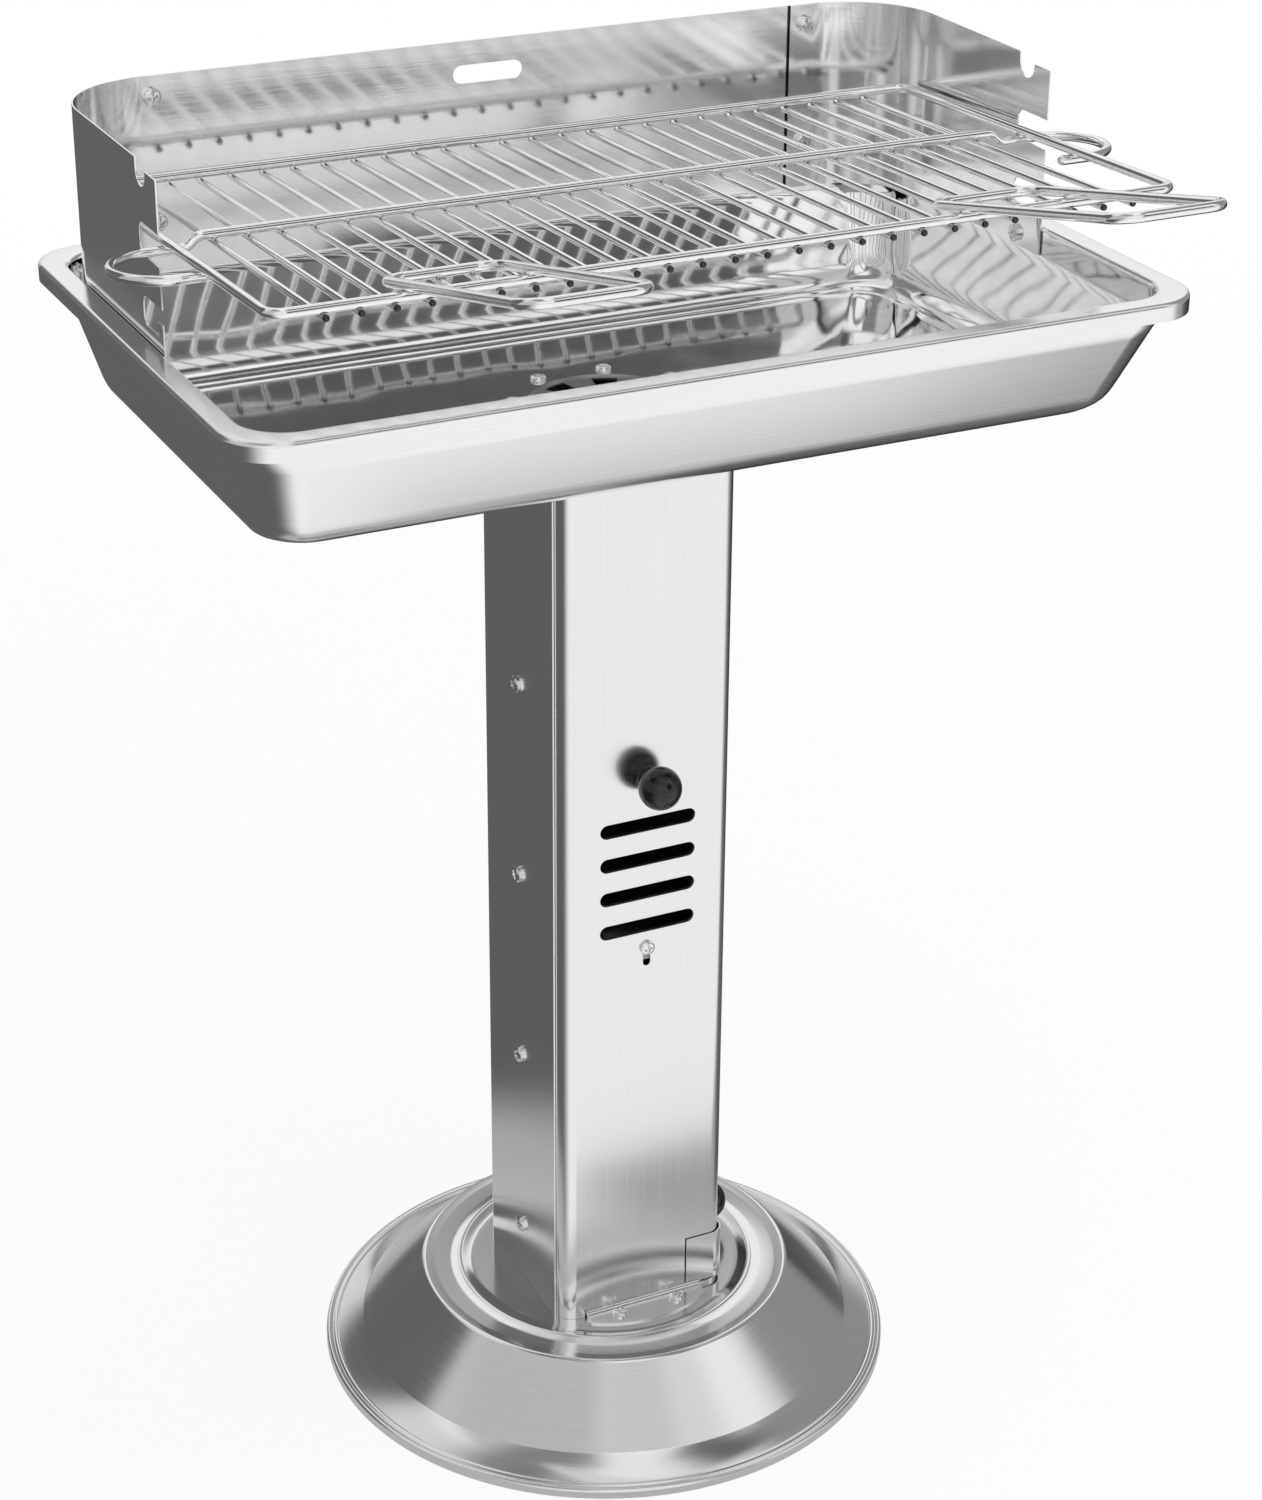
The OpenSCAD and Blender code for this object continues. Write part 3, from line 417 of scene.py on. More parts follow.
def lap_painted_shade(tree):
    """Painted shade in the open lap at the shield's right joint, where the side panel's end stands off the
    back panel.
    """
    x, y, z = axes(tree)
    return between(x, 0.2084, 0.2102, soft=0.0002) * between(y, 0.1683, 0.1699, soft=0.0002)


column_steel = brushed_steel("column_steel", 0.88, 0.2, straight(1, 1, 0.012), grain=0.5)
bowl_steel = brushed_steel("bowl_steel", 0.93, 0.2, straight(0.02, 0.02, 1), grain=0.3)
bowl_inside = polished_steel("bowl_inside", 0.96, 0.05, wave=0.4, depth=0.0015, pitch=14)
base_steel = brushed_steel("base_steel", 0.88, 0.15, spun, grain=0.6, depth=0.00005)
inner_steel = brushed_steel("inner_steel", 0.35, 0.4, straight(1, 0.05, 1))
# The shield's steel gets a painted shade line along its right-hand lap joint.
shield_steel = brushed_steel("shield_steel", 0.97, 0.12, straight(0.02, 0.02, 1), painted_shade=lap_painted_shade)
fastener_steel = polished_steel("fastener_steel", 0.85, 0.08, wave=0.1, depth=0.0005, pitch=200)
wire_chrome = chrome_wire("wire_chrome")
knob_black = black_plastic("knob_black")

# Mesh helpers
# Every modelled piece below is built in millimetres by these: skins through rings of points, and cut
# and folded sheet metal. Faces are smooth, and edges sharper than an angle stay crisp.

CUT_EDGE = 0.22
FULL_TURN = 6.28


def build_mesh(name, parts, sharp):
    mesh = bpy.data.meshes.new(name)
    work = bmesh.new()
    for points, faces in parts:
        made = [work.verts.new(Vector(p) * MM) for p in points]
        for face in faces:
            work.faces.new([made[i] for i in face])
    bmesh.ops.recalc_face_normals(work, faces=work.faces)
    for face in work.faces:
        face.smooth = True
    for edge in work.edges:
        edge.smooth = edge.calc_face_angle(0.0) < math.radians(sharp)
    work.to_mesh(mesh)
    work.free()
    return mesh


def place_piece(piece, body, stands_for):
    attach(piece, body)
    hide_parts(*stands_for)


def finish_piece(name, parts, body, stands_for, material, sharp=38, second=None):
    """One object from (points, faces) parts, that rides on a body and stands for CAD nodes.
    second is another material and the numbers of the faces that have it."""
    mesh = build_mesh(name, parts, sharp)
    mesh.materials.append(material)
    if second:
        mesh.materials.append(second[0])
        for i in second[1]:
            mesh.polygons[i].material_index = 1
    piece = put_in_scene(name, mesh)
    piece.modifiers.new("weigh_normals", "WEIGHTED_NORMAL").keep_sharp = True
    place_piece(piece, body, stands_for)


def skin(rings, closed=False):
    """Points and faces through rings; a ring of one point is a pole, and closed joins last to first."""
    points, starts = [], []
    for ring in rings:
        starts.append(len(points))
        points.extend(ring)
    faces = []
    pairs = [(k, k + 1) for k in range(len(rings) - 1)]
    if closed:
        pairs.append((len(rings) - 1, 0))
    for a, b in pairs:
        count_a, count_b = len(rings[a]), len(rings[b])
        count = max(count_a, count_b)
        for i in range(count):
            j = (i + 1) % count
            face = [starts[a] + i % count_a, starts[a] + j % count_a,
                    starts[b] + j % count_b, starts[b] + i % count_b]
            face = list(dict.fromkeys(face))
            if len(face) > 2:
                faces.append(face)
    return points, faces


def arc(cx, cy, radius, start, end, steps):
    """Points of an arc, in degrees, both ends included."""
    angles = [math.radians(start + (end - start) * i / steps) for i in range(steps + 1)]
    return [(cx + radius * math.cos(a), cy + radius * math.sin(a)) for a in angles]


def round_angles(count):
    return [2 * math.pi * i / count for i in range(count)]


def revolve(profile, sides, centre=(0, 0, 0), axis=(0, 0, 1)):
    """Skin of a (radius, height) profile about an axis; radius 0 makes a pole."""
    axis = Vector(axis).normalized()
    across = axis.orthogonal().normalized()
    beside = axis.cross(across)
    rings = []
    for radius, height in profile:
        middle = Vector(centre) + axis * height
        if radius < 1e-6:
            rings.append([middle])
        else:
            rings.append([middle + (across * math.cos(a) + beside * math.sin(a)) * radius
                          for a in round_angles(sides)])
    return skin(rings)


def sweep(path, radius, closed=False, sides=16):
    """Round wire along a path, with domed ends unless the path is closed."""
    path = [Vector(p) for p in path]
    count = len(path)
    ahead = []
    for i in range(count):
        before = path[i - 1] if closed or i > 0 else path[0]
        after = path[(i + 1) % count] if closed or i < count - 1 else path[-1]
        ahead.append((after - before).normalized())
    side = ahead[0].orthogonal().normalized()
    frames = []
    for way in ahead:
        side = (side - way * side.dot(way)).normalized()
        frames.append((side.copy(), way.cross(side)))

    def ring(centre, frame, size):
        return [centre + (frame[0] * math.cos(a) + frame[1] * math.sin(a)) * size
                for a in round_angles(sides)]

    def dome(end, way, frame):
        """Rings from the wire's end outward, and the pole."""
        tilts = [math.radians(t) for t in (25, 50, 72)]
        return [ring(end + way * radius * math.sin(t), frame, radius * math.cos(t))
                for t in tilts] + [[end + way * radius]]

    rings = [ring(p, f, radius) for p, f in zip(path, frames)]
    if closed:
        return skin(rings, True)
    return skin(dome(path[0], -ahead[0], frames[0])[::-1] + rings + dome(path[-1], ahead[-1], frames[-1]))


class Fold:
    """Plan path of a bent sheet along its outer face: stretches and left-hand bends, from a start."""

    def __init__(self, start, heading, *spans, step=7.5):
        self.spans = []
        self.breaks = []
        place = Vector(start)
        turn = math.radians(heading)
        run = 0.0
        for length, radius in spans:
            self.spans.append((run, place.copy(), turn, radius))
            if radius is None:
                place = place + Vector((math.cos(turn), math.sin(turn))) * length
                run += length
                continue
            steps = round(length / step)
            self.breaks += [run + math.radians(length) * radius * i / steps for i in range(steps + 1)]
            middle = place + Vector((-math.sin(turn), math.cos(turn))) * radius
            turn += math.radians(length)
            place = middle + Vector((math.sin(turn), -math.cos(turn))) * radius
            run += math.radians(length) * radius
        self.length = run

    def at(self, u):
        """Point on the outer face and the direction outward from it."""
        run, place, turn, radius = [s for s in self.spans if s[0] <= u + 1e-6 or s is self.spans[0]][-1]
        if radius is None:
            way = Vector((math.cos(turn), math.sin(turn)))
            return place + way * (u - run), Vector((way.y, -way.x))
        middle = place + Vector((-math.sin(turn), math.cos(turn))) * radius
        turn += (u - run) / radius
        outward = Vector((math.sin(turn), -math.cos(turn)))
        return middle + outward * radius, outward

    def upright(self, u, v, depth):
        place, outward = self.at(u)
        flat = place - outward * depth
        return Vector((flat.x, flat.y, v))


def round_hole(cx, cy, radius):
    return arc(cx, cy, radius, 0, 345, 23)


def lying_slot(cx, cy, length, height):
    """Slot with round ends; length is between the end circles."""
    return (arc(cx + length / 2, cy, height / 2, -90, 90, 10)
            + arc(cx - length / 2, cy, height / 2, 90, 270, 10))


def divide(loop, across, along):
    """A flat loop with a point added wherever it passes a crease."""
    fine = []
    for a, b in zip(loop, loop[1:] + loop[:1]):
        stops = [0.0]
        for i, marks in ((0, across), (1, along)):
            if abs(b[i] - a[i]) > 1e-6:
                stops += [t for t in ((m - a[i]) / (b[i] - a[i]) for m in marks) if 1e-4 < t < 1 - 1e-4]
        fine += [Vector((a[0] + (b[0] - a[0]) * t, a[1] + (b[1] - a[1]) * t)) for t in sorted(stops)]
    return fine


def inset(loop, by):
    """A flat loop moved to its left."""
    moved = []
    for i, here in enumerate(loop):
        back = (here - loop[i - 1]).normalized()
        ahead = (loop[(i + 1) % len(loop)] - here).normalized()
        one, two = Vector((-back.y, back.x)), Vector((-ahead.y, ahead.x))
        moved.append(here + (one + two) * (by / max(0.25, 1 + one.dot(two))))
    return moved


def inside(p, loop):
    odd = False
    for a, b in zip(loop, loop[1:] + loop[:1]):
        if (a.y > p.y) != (b.y > p.y) and p.x < (b.x - a.x) * (p.y - a.y) / (b.y - a.y) + a.x:
            odd = not odd
    return odd


def fill(loops, across, along):
    """Flat points and faces between an outline and its holes, split at the creases."""
    points, sides = [], []
    for loop in loops:
        start = len(points)
        points += loop
        sides += [(start + i, start + (i + 1) % len(loop)) for i in range(len(loop))]
    low = [min(p[i] for p in points) - 1 for i in (0, 1)]
    high = [max(p[i] for p in points) + 1 for i in (0, 1)]
    creases = [((mark, low[1]), (mark, high[1])) for mark in across]
    creases += [((low[0], mark), (high[0], mark)) for mark in along]
    for ends in creases:
        sides.append((len(points), len(points) + 1))
        points += [Vector(end) for end in ends]
    flat, _, triangles = delaunay_2d_cdt(points, sides, [], 0, 1e-5)[:3]
    kept = []
    for face in triangles:
        middle = sum((flat[i] for i in face), Vector((0, 0))) / len(face)
        if inside(middle, loops[0]) and not any(inside(middle, loop) for loop in loops[1:]):
            kept.append(list(face))
    used = sorted({i for face in kept for i in face})
    index = {i: k for k, i in enumerate(used)}
    return [flat[i] for i in used], [[index[i] for i in face] for face in kept]


def cut_sheet(outline, holes, place, thickness, across=(), along=()):
    """Sheet metal cut in the flat, then put in place by a function of (u, v, depth).
    across and along are the flat places of its creases; every cut edge is a little rounded."""
    loops = []
    for k, loop in enumerate([outline] + list(holes)):
        area = sum(a[0] * b[1] - b[0] * a[1] for a, b in zip(loop, loop[1:] + loop[:1]))
        if (area > 0) != (k == 0):
            loop = loop[::-1]
        loops.append(divide(loop, across, along))
    steps = [(CUT_EDGE * (1 - math.sin(a)), CUT_EDGE * (1 - math.cos(a)))
             for a in (0, math.pi / 4, math.pi / 2)]
    levels = steps + [(by, thickness - depth) for by, depth in reversed(steps)]
    parts = []
    for loop in loops:
        rings = [[place(p.x, p.y, depth) for p in inset(loop, by)] for by, depth in levels]
        parts.append(skin(rings))
    flat, faces = fill([inset(loop, CUT_EDGE) for loop in loops], across, along)
    parts.append(([place(p.x, p.y, 0) for p in flat], faces))
    parts.append(([place(p.x, p.y, thickness) for p in flat], [face[::-1] for face in faces]))
    return weld(parts)


def weld(parts):
    """Parts whose points coincide, joined into one."""
    places, points, faces = {}, [], []
    for some_points, some_faces in parts:
        index = []
        for p in some_points:
            key = tuple(round(c, 3) for c in p)
            if key not in places:
                places[key] = len(points)
                points.append(p)
            index.append(places[key])
        for face in some_faces:
            new = list(dict.fromkeys(index[i] for i in face))
            if len(new) > 2:
                faces.append(new)
    return points, faces


def repeat_group():
    """Geometry Nodes: a piece on every point, turned to the point's own facing and by a random
    angle about it, then one plain mesh."""
    group = bpy.data.node_groups.new("repeat_on_points", "GeometryNodeTree")
    face = group.interface
    for label, kind in (("Points", "NodeSocketGeometry"), ("Piece", "NodeSocketObject"),
                        ("Finish", "NodeSocketMaterial"), ("Seed", "NodeSocketInt")):
        face.new_socket(label, in_out="INPUT", socket_type=kind)
    face.new_socket("Mesh", in_out="OUTPUT", socket_type="NodeSocketGeometry")
    add = group.nodes.new
    link = group.links.new
    start, end = add("NodeGroupInput"), add("NodeGroupOutput")
    facing = add("GeometryNodeInputNamedAttribute")
    facing.data_type = "FLOAT_VECTOR"
    facing.inputs["Name"].default_value = "facing"
    align = add("FunctionNodeAlignRotationToVector")
    align.axis = "Z"
    link(facing.outputs["Attribute"], align.inputs["Vector"])
    chance = add("FunctionNodeRandomValue")
    chance.data_type = "FLOAT"
    chance.inputs[3].default_value = FULL_TURN
    link(start.outputs["Seed"], chance.inputs["Seed"])
    own = add("FunctionNodeAxisAngleToRotation")
    link(chance.outputs[1], own.inputs["Angle"])
    both = add("FunctionNodeRotateRotation")
    both.rotation_space = "LOCAL"
    link(align.outputs[0], both.inputs[0])
    link(own.outputs[0], both.inputs[1])
    source = add("GeometryNodeObjectInfo")
    link(start.outputs["Piece"], source.inputs["Object"])
    copies = add("GeometryNodeInstanceOnPoints")
    link(start.outputs["Points"], copies.inputs["Points"])
    link(source.outputs["Geometry"], copies.inputs["Instance"])
    link(both.outputs[0], copies.inputs["Rotation"])
    real = add("GeometryNodeRealizeInstances")
    link(copies.outputs[0], real.inputs[0])
    finish = add("GeometryNodeSetMaterial")
    link(real.outputs[0], finish.inputs["Geometry"])
    link(start.outputs["Finish"], finish.inputs["Material"])
    link(finish.outputs[0], end.inputs[0])
    return group


REPEAT = repeat_group()


def repeat(name, part, places, body, stands_for, material, seed=7, sharp=38):
    """Copies of a part at (place, facing) pairs, made by the node group."""
    one = put_in_scene(name + "_one", build_mesh(name + "_one", [part], sharp))
    spots = bpy.data.meshes.new(name + "_spots")
    spots.from_pydata([Vector(p) * MM for p, _ in places], [], [])
    facing = spots.attributes.new("facing", "FLOAT_VECTOR", "POINT")
    for i, (_, way) in enumerate(places):
        facing.data[i].vector = Vector(way).normalized()
    maker = put_in_scene(name + "_maker", spots)
    run = maker.modifiers.new("repeat", "NODES")
    run.node_group = REPEAT
    wanted = {"Piece": one, "Finish": material, "Seed": seed}
    for item in REPEAT.interface.items_tree:
        if item.in_out == "INPUT" and item.name in wanted:
            run[item.identifier] = wanted[item.name]
    bpy.context.view_layer.update()
    graph = bpy.context.evaluated_depsgraph_get()
    mesh = bpy.data.meshes.new_from_object(maker.evaluated_get(graph))
    mesh.name = name
    for obj in (one, maker):
        bpy.data.objects.remove(obj)
    place_piece(put_in_scene(name, mesh), body, stands_for)


# CAD pieces
# Those that stay as packed take their finish from the record's slots.

FINISHES = {
    "base_steel": base_steel,
    "column_steel": column_steel,
    "bowl_steel": bowl_steel,
    "shield_steel": shield_steel,
    "inner_steel": inner_steel,
    "wire_chrome": wire_chrome,
    "fastener_steel": fastener_steel,
    "knob_black": knob_black,
}
for part in frame["record"]["subparts"]:
    for slot in nodes[part["node"]].material_slots:
        slot.material = FINISHES[part["material_slot"]]

# Base dish
# Pressed from one steel disc. The profile runs inward from the rolled rim: lip, concave band, cone,
# crest, flat ring, bead and the recess that the column stands in.

BASE_SHEET = 1.5
BASE_RADIUS = 190.75
RECESS_TOP = 56.0
BAND_SHARES = (0, 0.03, 0.1, 0.2, 0.3, 0.4, 0.5, 0.6, 0.7, 0.8, 0.9, 0.97, 1)

base_top = (
    [(BASE_RADIUS, 0), (BASE_RADIUS, 4.0)] + arc(188.65, 4.2, 2.1, 12, 90, 6)
    + [(187.2, 6.05), (186.6, 5.75), (186.0, 5.8)] + arc(184.1, 4.3, 2.35, 62, 118, 5)
    + [(182.6 - 17.35 * s, 6.15 + 9.87 * (0.8 * s + 0.2 * s * s)) for s in BAND_SHARES]
    + [(164.8, 16.47), (160, 21.27), (145, 36.27), (130, 51.27), (125.5, 55.77)]
    + arc(121.4, 53.4, 4.6, 45, 90, 8)
    + [(118.5, 57.75), (117, 57.45), (115.5, 57.3), (106.5, 57.25), (104.2, 57.4)]
    + arc(98.2, 54.6, 4.15, 58, 122, 8)
    + [(94.2, 57.4), (92, 56.5), (90, 56.1), (88, RECESS_TOP), (60, RECESS_TOP), (0, RECESS_TOP)]
)


def under(profile, thickness):
    """The same profile, one sheet thickness to its inside."""
    lower = []
    for i, here in enumerate(profile):
        back = Vector(profile[max(i - 1, 0)])
        ahead = Vector(profile[min(i + 1, len(profile) - 1)])
        way = (ahead - back).normalized()
        lower.append((max(0.0, here[0] + way.y * -thickness), max(0.0, here[1] + way.x * thickness)))
    return lower


base_under = under(base_top, BASE_SHEET)
base_under[0] = (BASE_RADIUS - BASE_SHEET, 0)
base_under[-1] = (0, RECESS_TOP - BASE_SHEET)
finish_piece("base_dish_pressed", [revolve(base_top + base_under[::-1], 240)], "stand", ["base_dish"],
             base_steel)

# Column
# Two folded sheets, lapped at the sides and screwed. Their feet are bent outward onto the base; the
# front one has the vents, two slots for the damper's knob and guide screw, and the drawer's opening.

COLUMN_FOOT = RECESS_TOP
COLUMN_TOP = 670.2
SHEET = 1.2
CORNER_RUN = 15.708
FOOT_REACH = 82.0
FOOT_BEND = 3.4
BEND_START = COLUMN_FOOT + SHEET + FOOT_BEND
STRIP_TOP = BEND_START + 0.4
FLANGE_HALF = 42.0
SLIT = 0.6
RELIEF = 1.2
DRAWER_FOOT, DRAWER_TOP = 58.5, 96.3
DRAWER_HALF = 31
DAMPER_STROKE = 10.5
DAMPER_KNOB_Z, GUIDE_Z = 446.5, 326.6
DRAWER_KNOB_Z = 77.4


def bent_foot(fold, middle):
    """Puts a sheet upright, with the strip round its middle bent outward at the foot."""
    def place(u, v, depth):
        if v > BEND_START or abs(u - middle) > FLANGE_HALF + SLIT / 2:
            return fold.upright(u, v, depth)
        at, outward = fold.at(u)
        run = BEND_START - v
        turn = min(run / FOOT_BEND, math.pi / 2)
        past = max(0.0, run - FOOT_BEND * math.pi / 2)
        out = FOOT_BEND * (1 - math.cos(turn)) + past - depth * math.cos(turn)
        height = BEND_START - FOOT_BEND * math.sin(turn) - depth * math.sin(turn)
        flat = at + outward * out
        return Vector((flat.x, flat.y, height))
    return place


def foot_tab(middle):
    """Flat outline of the bent strip, from left to right, below the bend's start. Its end is round:
    it follows a circle about the column's axis."""
    def tip(across):
        out = math.sqrt(FOOT_REACH ** 2 - across ** 2) - 60
        return BEND_START - FOOT_BEND * math.pi / 2 - (out - FOOT_BEND)
    low = [(middle + FLANGE_HALF * i / 12, tip(FLANGE_HALF * i / 12)) for i in range(-12, 13)]
    return [(middle - FLANGE_HALF - SLIT, BEND_START), (middle - FLANGE_HALF, BEND_START)] + low + [
        (middle + FLANGE_HALF, BEND_START), (middle + FLANGE_HALF + SLIT, BEND_START)]


bend_marks = [BEND_START - FOOT_BEND * math.pi / 2 * i / 6 for i in range(7)]
front = Fold((-58.6, 12), -90, (62, None), (90, 10), (97.2, None), (90, 10), (62, None))
mid = front.length / 2
strip_left, strip_right = mid - FLANGE_HALF, mid + FLANGE_HALF
drawer_left, drawer_right = mid + DRAWER_HALF, mid + 48.6 + CORNER_RUN + 0.5
front_holes = [lying_slot(mid, 343.1 + 23.8 * i, 56, 9.6) for i in range(4)]
front_holes += [arc(mid, top, radius, 0, 180, 8) + arc(mid, top - DAMPER_STROKE, radius, 180, 360, 8)
                for top, radius in ((GUIDE_Z, 2.5), (DAMPER_KNOB_Z, 3.1))]
front_outline = (
    [(0, COLUMN_FOOT), (strip_left - SLIT, COLUMN_FOOT)] + foot_tab(mid)
    + [(strip_right + SLIT, COLUMN_FOOT), (drawer_right, COLUMN_FOOT), (drawer_right, DRAWER_FOOT),
       (strip_right + RELIEF, DRAWER_FOOT), (strip_right + RELIEF, STRIP_TOP), (drawer_left, STRIP_TOP),
       (drawer_left, DRAWER_TOP), (front.length, DRAWER_TOP), (front.length, COLUMN_TOP), (0, COLUMN_TOP)]
)
finish_piece("column_front_sheet",
             [cut_sheet(front_outline, front_holes, bent_foot(front, mid), SHEET, front.breaks, bend_marks)],
             "stand", ["column_front"], column_steel)

back = Fold((60, -49), 90, (99, None), (90, 10), (100, None), (90, 10), (99, None))
mid = back.length / 2
strip_left, strip_right = mid - FLANGE_HALF, mid + FLANGE_HALF
drawer_edge, corner_foot = mid - DRAWER_HALF, 99 + CORNER_RUN - 0.5 - 15
back_outline = (
    [(0, DRAWER_TOP), (drawer_edge, DRAWER_TOP), (drawer_edge, STRIP_TOP), (strip_left - RELIEF, STRIP_TOP),
     (strip_left - RELIEF, DRAWER_FOOT), (corner_foot, DRAWER_FOOT), (corner_foot, COLUMN_FOOT),
     (strip_left - SLIT, COLUMN_FOOT)]
    + foot_tab(mid) + [(strip_right + SLIT, COLUMN_FOOT), (back.length, COLUMN_FOOT),
                       (back.length, COLUMN_TOP), (0, COLUMN_TOP)]
)
finish_piece("column_back_sheet",
             [cut_sheet(back_outline, [], bent_foot(back, mid), SHEET, back.breaks, bend_marks)],
             "stand", ["column_back"], column_steel)

# Ash drawer's front
# A folded wrap of the same sheet, let into the column's right side with a narrow black gap all round.

WRAP_FOOT, WRAP_TOP = DRAWER_FOOT + 1, DRAWER_TOP - 1
wrap = Fold((32, -60), 0, (19.5, None), (90, 10), (100, None), (90, 10), (19.5, None))
finish_piece("ash_drawer_wrap",
             [cut_sheet([(0, WRAP_FOOT), (wrap.length, WRAP_FOOT), (wrap.length, WRAP_TOP), (0, WRAP_TOP)],
                        [round_hole(wrap.length / 2, DRAWER_KNOB_Z, 3.1)], wrap.upright, SHEET, wrap.breaks)],
             "ash_drawer", ["ash_drawer_front"], column_steel)

# Fire bowl
# Deep-drawn from one sheet: turned-down skirt, flat rim, an upright band, leaning walls and a flat
# floor with a round hole, all with rolled edges; mirror-bright inside.

BOWL_SHEET = 1.2
RIM_TOP = 752.6
RIM_ROLL = 2.8
ROLL_START = 749.8
SKIRT_FOOT = 741.6
WALL_ROLL = 3.2
BAND_DEPTH = 20.6
BOWL_DEPTH = 81.2
FLOOR_BEND = 22.4
FLOOR_BEND_DEPTH = 58.8
FLOOR_TOP, FLOOR_UNDER = 672.6, 671.4
WALL_X, WALL_Y = 285.5, 172.0
REACH_X, REACH_Y = 32.5, 45
HOLE_RADIUS = 49
QUARTER = 24
RING = 4 * (QUARTER + 1)
SATIN_RINGS = 12


def wall_inset(depth, reach, thickness):
    """How far the wall has come in at a depth below the rim, on its way in to reach."""
    drop = BOWL_DEPTH - FLOOR_BEND - BAND_DEPTH
    radius = FLOOR_BEND - thickness
    run = reach - thickness
    lean = math.atan2(run, drop) - math.asin(radius / math.hypot(run, drop))
    below = depth - BAND_DEPTH
    lower = below - drop
    if below <= 0:
        return thickness
    if lower <= radius * math.sin(lean):
        return thickness + below * math.tan(lean)
    return reach - math.sqrt(max(0.0, radius ** 2 - lower ** 2))


def ring_angles():
    """(quarter, angle) of each point of a ring."""
    return [(quarter, math.radians(quarter * 90 + 90 * i / QUARTER))
            for quarter in range(4) for i in range(QUARTER + 1)]


def bowl_ring(half_x, half_y, corner, z):
    ring = []
    for quarter, a in ring_angles():
        sx = 1 if quarter in (0, 3) else -1
        sy = 1 if quarter < 2 else -1
        ring.append((sx * (half_x - corner) + corner * math.cos(a),
                     sy * (half_y - corner) + corner * math.sin(a), z))
    return ring


def bowl_side(thickness):
    """Rings of the bowl's face: thickness 0 is its outside, a sheet in is its inside."""
    depths = [WALL_ROLL + 17.4 * i / 6 for i in range(1, 7)] + [BAND_DEPTH + 4.6 * i for i in range(1, 9)]
    depths += [FLOOR_BEND_DEPTH + (FLOOR_BEND - thickness) * math.sin(math.radians(a))
               for a in (0, 8, 16, 25, 34, 43, 52, 61, 70, 79, 86, 90)]
    rings = []
    for depth in depths:
        corner = 30 - 3 * depth / BOWL_DEPTH - thickness
        rings.append(bowl_ring(WALL_X - wall_inset(depth, REACH_X, thickness),
                               WALL_Y - wall_inset(depth, REACH_Y, thickness), corner, RIM_TOP - depth))
    return rings


def rim_ring(inward, z):
    share = max(0.0, min(1.0, inward / 15.7))
    return bowl_ring(300 - inward, 186.5 - inward, 33 - 4.2 * share, z)


def hole_ring(z):
    return [(HOLE_RADIUS * math.cos(a), HOLE_RADIUS * math.sin(a), z) for _, a in ring_angles()]


rolls = [math.radians(t) for t in (15, 30, 45, 60, 75, 90)]
upper = [rim_ring(0.0, SKIRT_FOOT), rim_ring(0.0, ROLL_START)]
upper += [rim_ring(RIM_ROLL * (1 - math.cos(a)), ROLL_START + RIM_ROLL * math.sin(a)) for a in rolls]
upper += [rim_ring(8, RIM_TOP), rim_ring(12.5, RIM_TOP)]
upper += [rim_ring(12.5 + WALL_ROLL * math.sin(a), RIM_TOP - WALL_ROLL + WALL_ROLL * math.cos(a))
          for a in rolls]
upper += bowl_side(BOWL_SHEET) + [hole_ring(FLOOR_TOP)]
lower = [rim_ring(1.2, SKIRT_FOOT), rim_ring(1.2, ROLL_START), rim_ring(2.0, 751.0), rim_ring(2.8, 751.4),
         rim_ring(12.5, 751.4), rim_ring(14.2, 750.0)]
lower += bowl_side(0) + [hole_ring(FLOOR_UNDER)]
polished_faces = range(SATIN_RINGS * RING, (len(upper) - 1) * RING)
finish_piece("fire_bowl_drawn", [skin(upper + lower[::-1], closed=True)], "stand", ["fire_bowl"],
             bowl_steel, second=(bowl_inside, polished_faces))

# Wind shield
# Two side panels bent round the rear corners and a flat back panel outside them, polished, with open
# slots for the grate's cross wire, a notch for a spit on each side and a hand slot.

SHIELD_FOOT, SHIELD_TOP = 734.0, 854.6
SHIELD_SHEET = 1.0
SIDE_RUN, SIDE_RADIUS, SIDE_RETURN = 139.4, 57, 16.9
SLOT_DEPTH = 33
BACK_LENGTH = 464


def grate_slot(floor, height, lip):
    """Outline of a slot from the panel's front edge, measured back from it."""
    r = height / 3
    mouth = [(0, floor + lip)] + ([(lip, floor + lip), (lip, floor)] if lip else [])
    return (mouth + arc(SLOT_DEPTH - r, floor + r, r, -90, 0, 5)
            + arc(SLOT_DEPTH - r, floor + height - r, r, 0, 90, 5) + [(0, floor + height)])


side_length = SIDE_RUN + SIDE_RADIUS * math.pi / 2 + SIDE_RETURN
side_outline = (
    [(0, SHIELD_FOOT)] + grate_slot(759.95, 17, 8) + grate_slot(800.95, 18.5, 0)
    + [(0, 850), (17.5, 850)] + arc(25.75, 848.25, 8.25, 180, 360, 14)
    + [(34, SHIELD_TOP), (side_length, SHIELD_TOP), (side_length, SHIELD_FOOT)]
)
left = Fold((-210, 169.4), 180, (SIDE_RETURN, None), (90, SIDE_RADIUS), (SIDE_RUN, None), step=3.75)
right = Fold((283.9, -27), 90, (SIDE_RUN, None), (90, SIDE_RADIUS), (SIDE_RETURN, None), step=3.75)
left_outline = [(left.length - d, z) for d, z in side_outline]
for side, fold, outline in (("left", left, left_outline), ("right", right, side_outline)):
    finish_piece("shield_%s_panel" % side, [cut_sheet(outline, [], fold.upright, SHIELD_SHEET, fold.breaks)],
                 "stand", ["shield_" + side], shield_steel)
rear = Fold((BACK_LENGTH / 2, 170.4), 180, (BACK_LENGTH, None))
rear_outline = [(0, SHIELD_FOOT), (BACK_LENGTH, SHIELD_FOOT), (BACK_LENGTH, SHIELD_TOP), (0, SHIELD_TOP)]
finish_piece("shield_back_panel",
             [cut_sheet(rear_outline, [lying_slot(234.5, 833.8, 35.5, 11.5)], rear.upright, SHIELD_SHEET)],
             "stand", ["shield_back"], shield_steel)

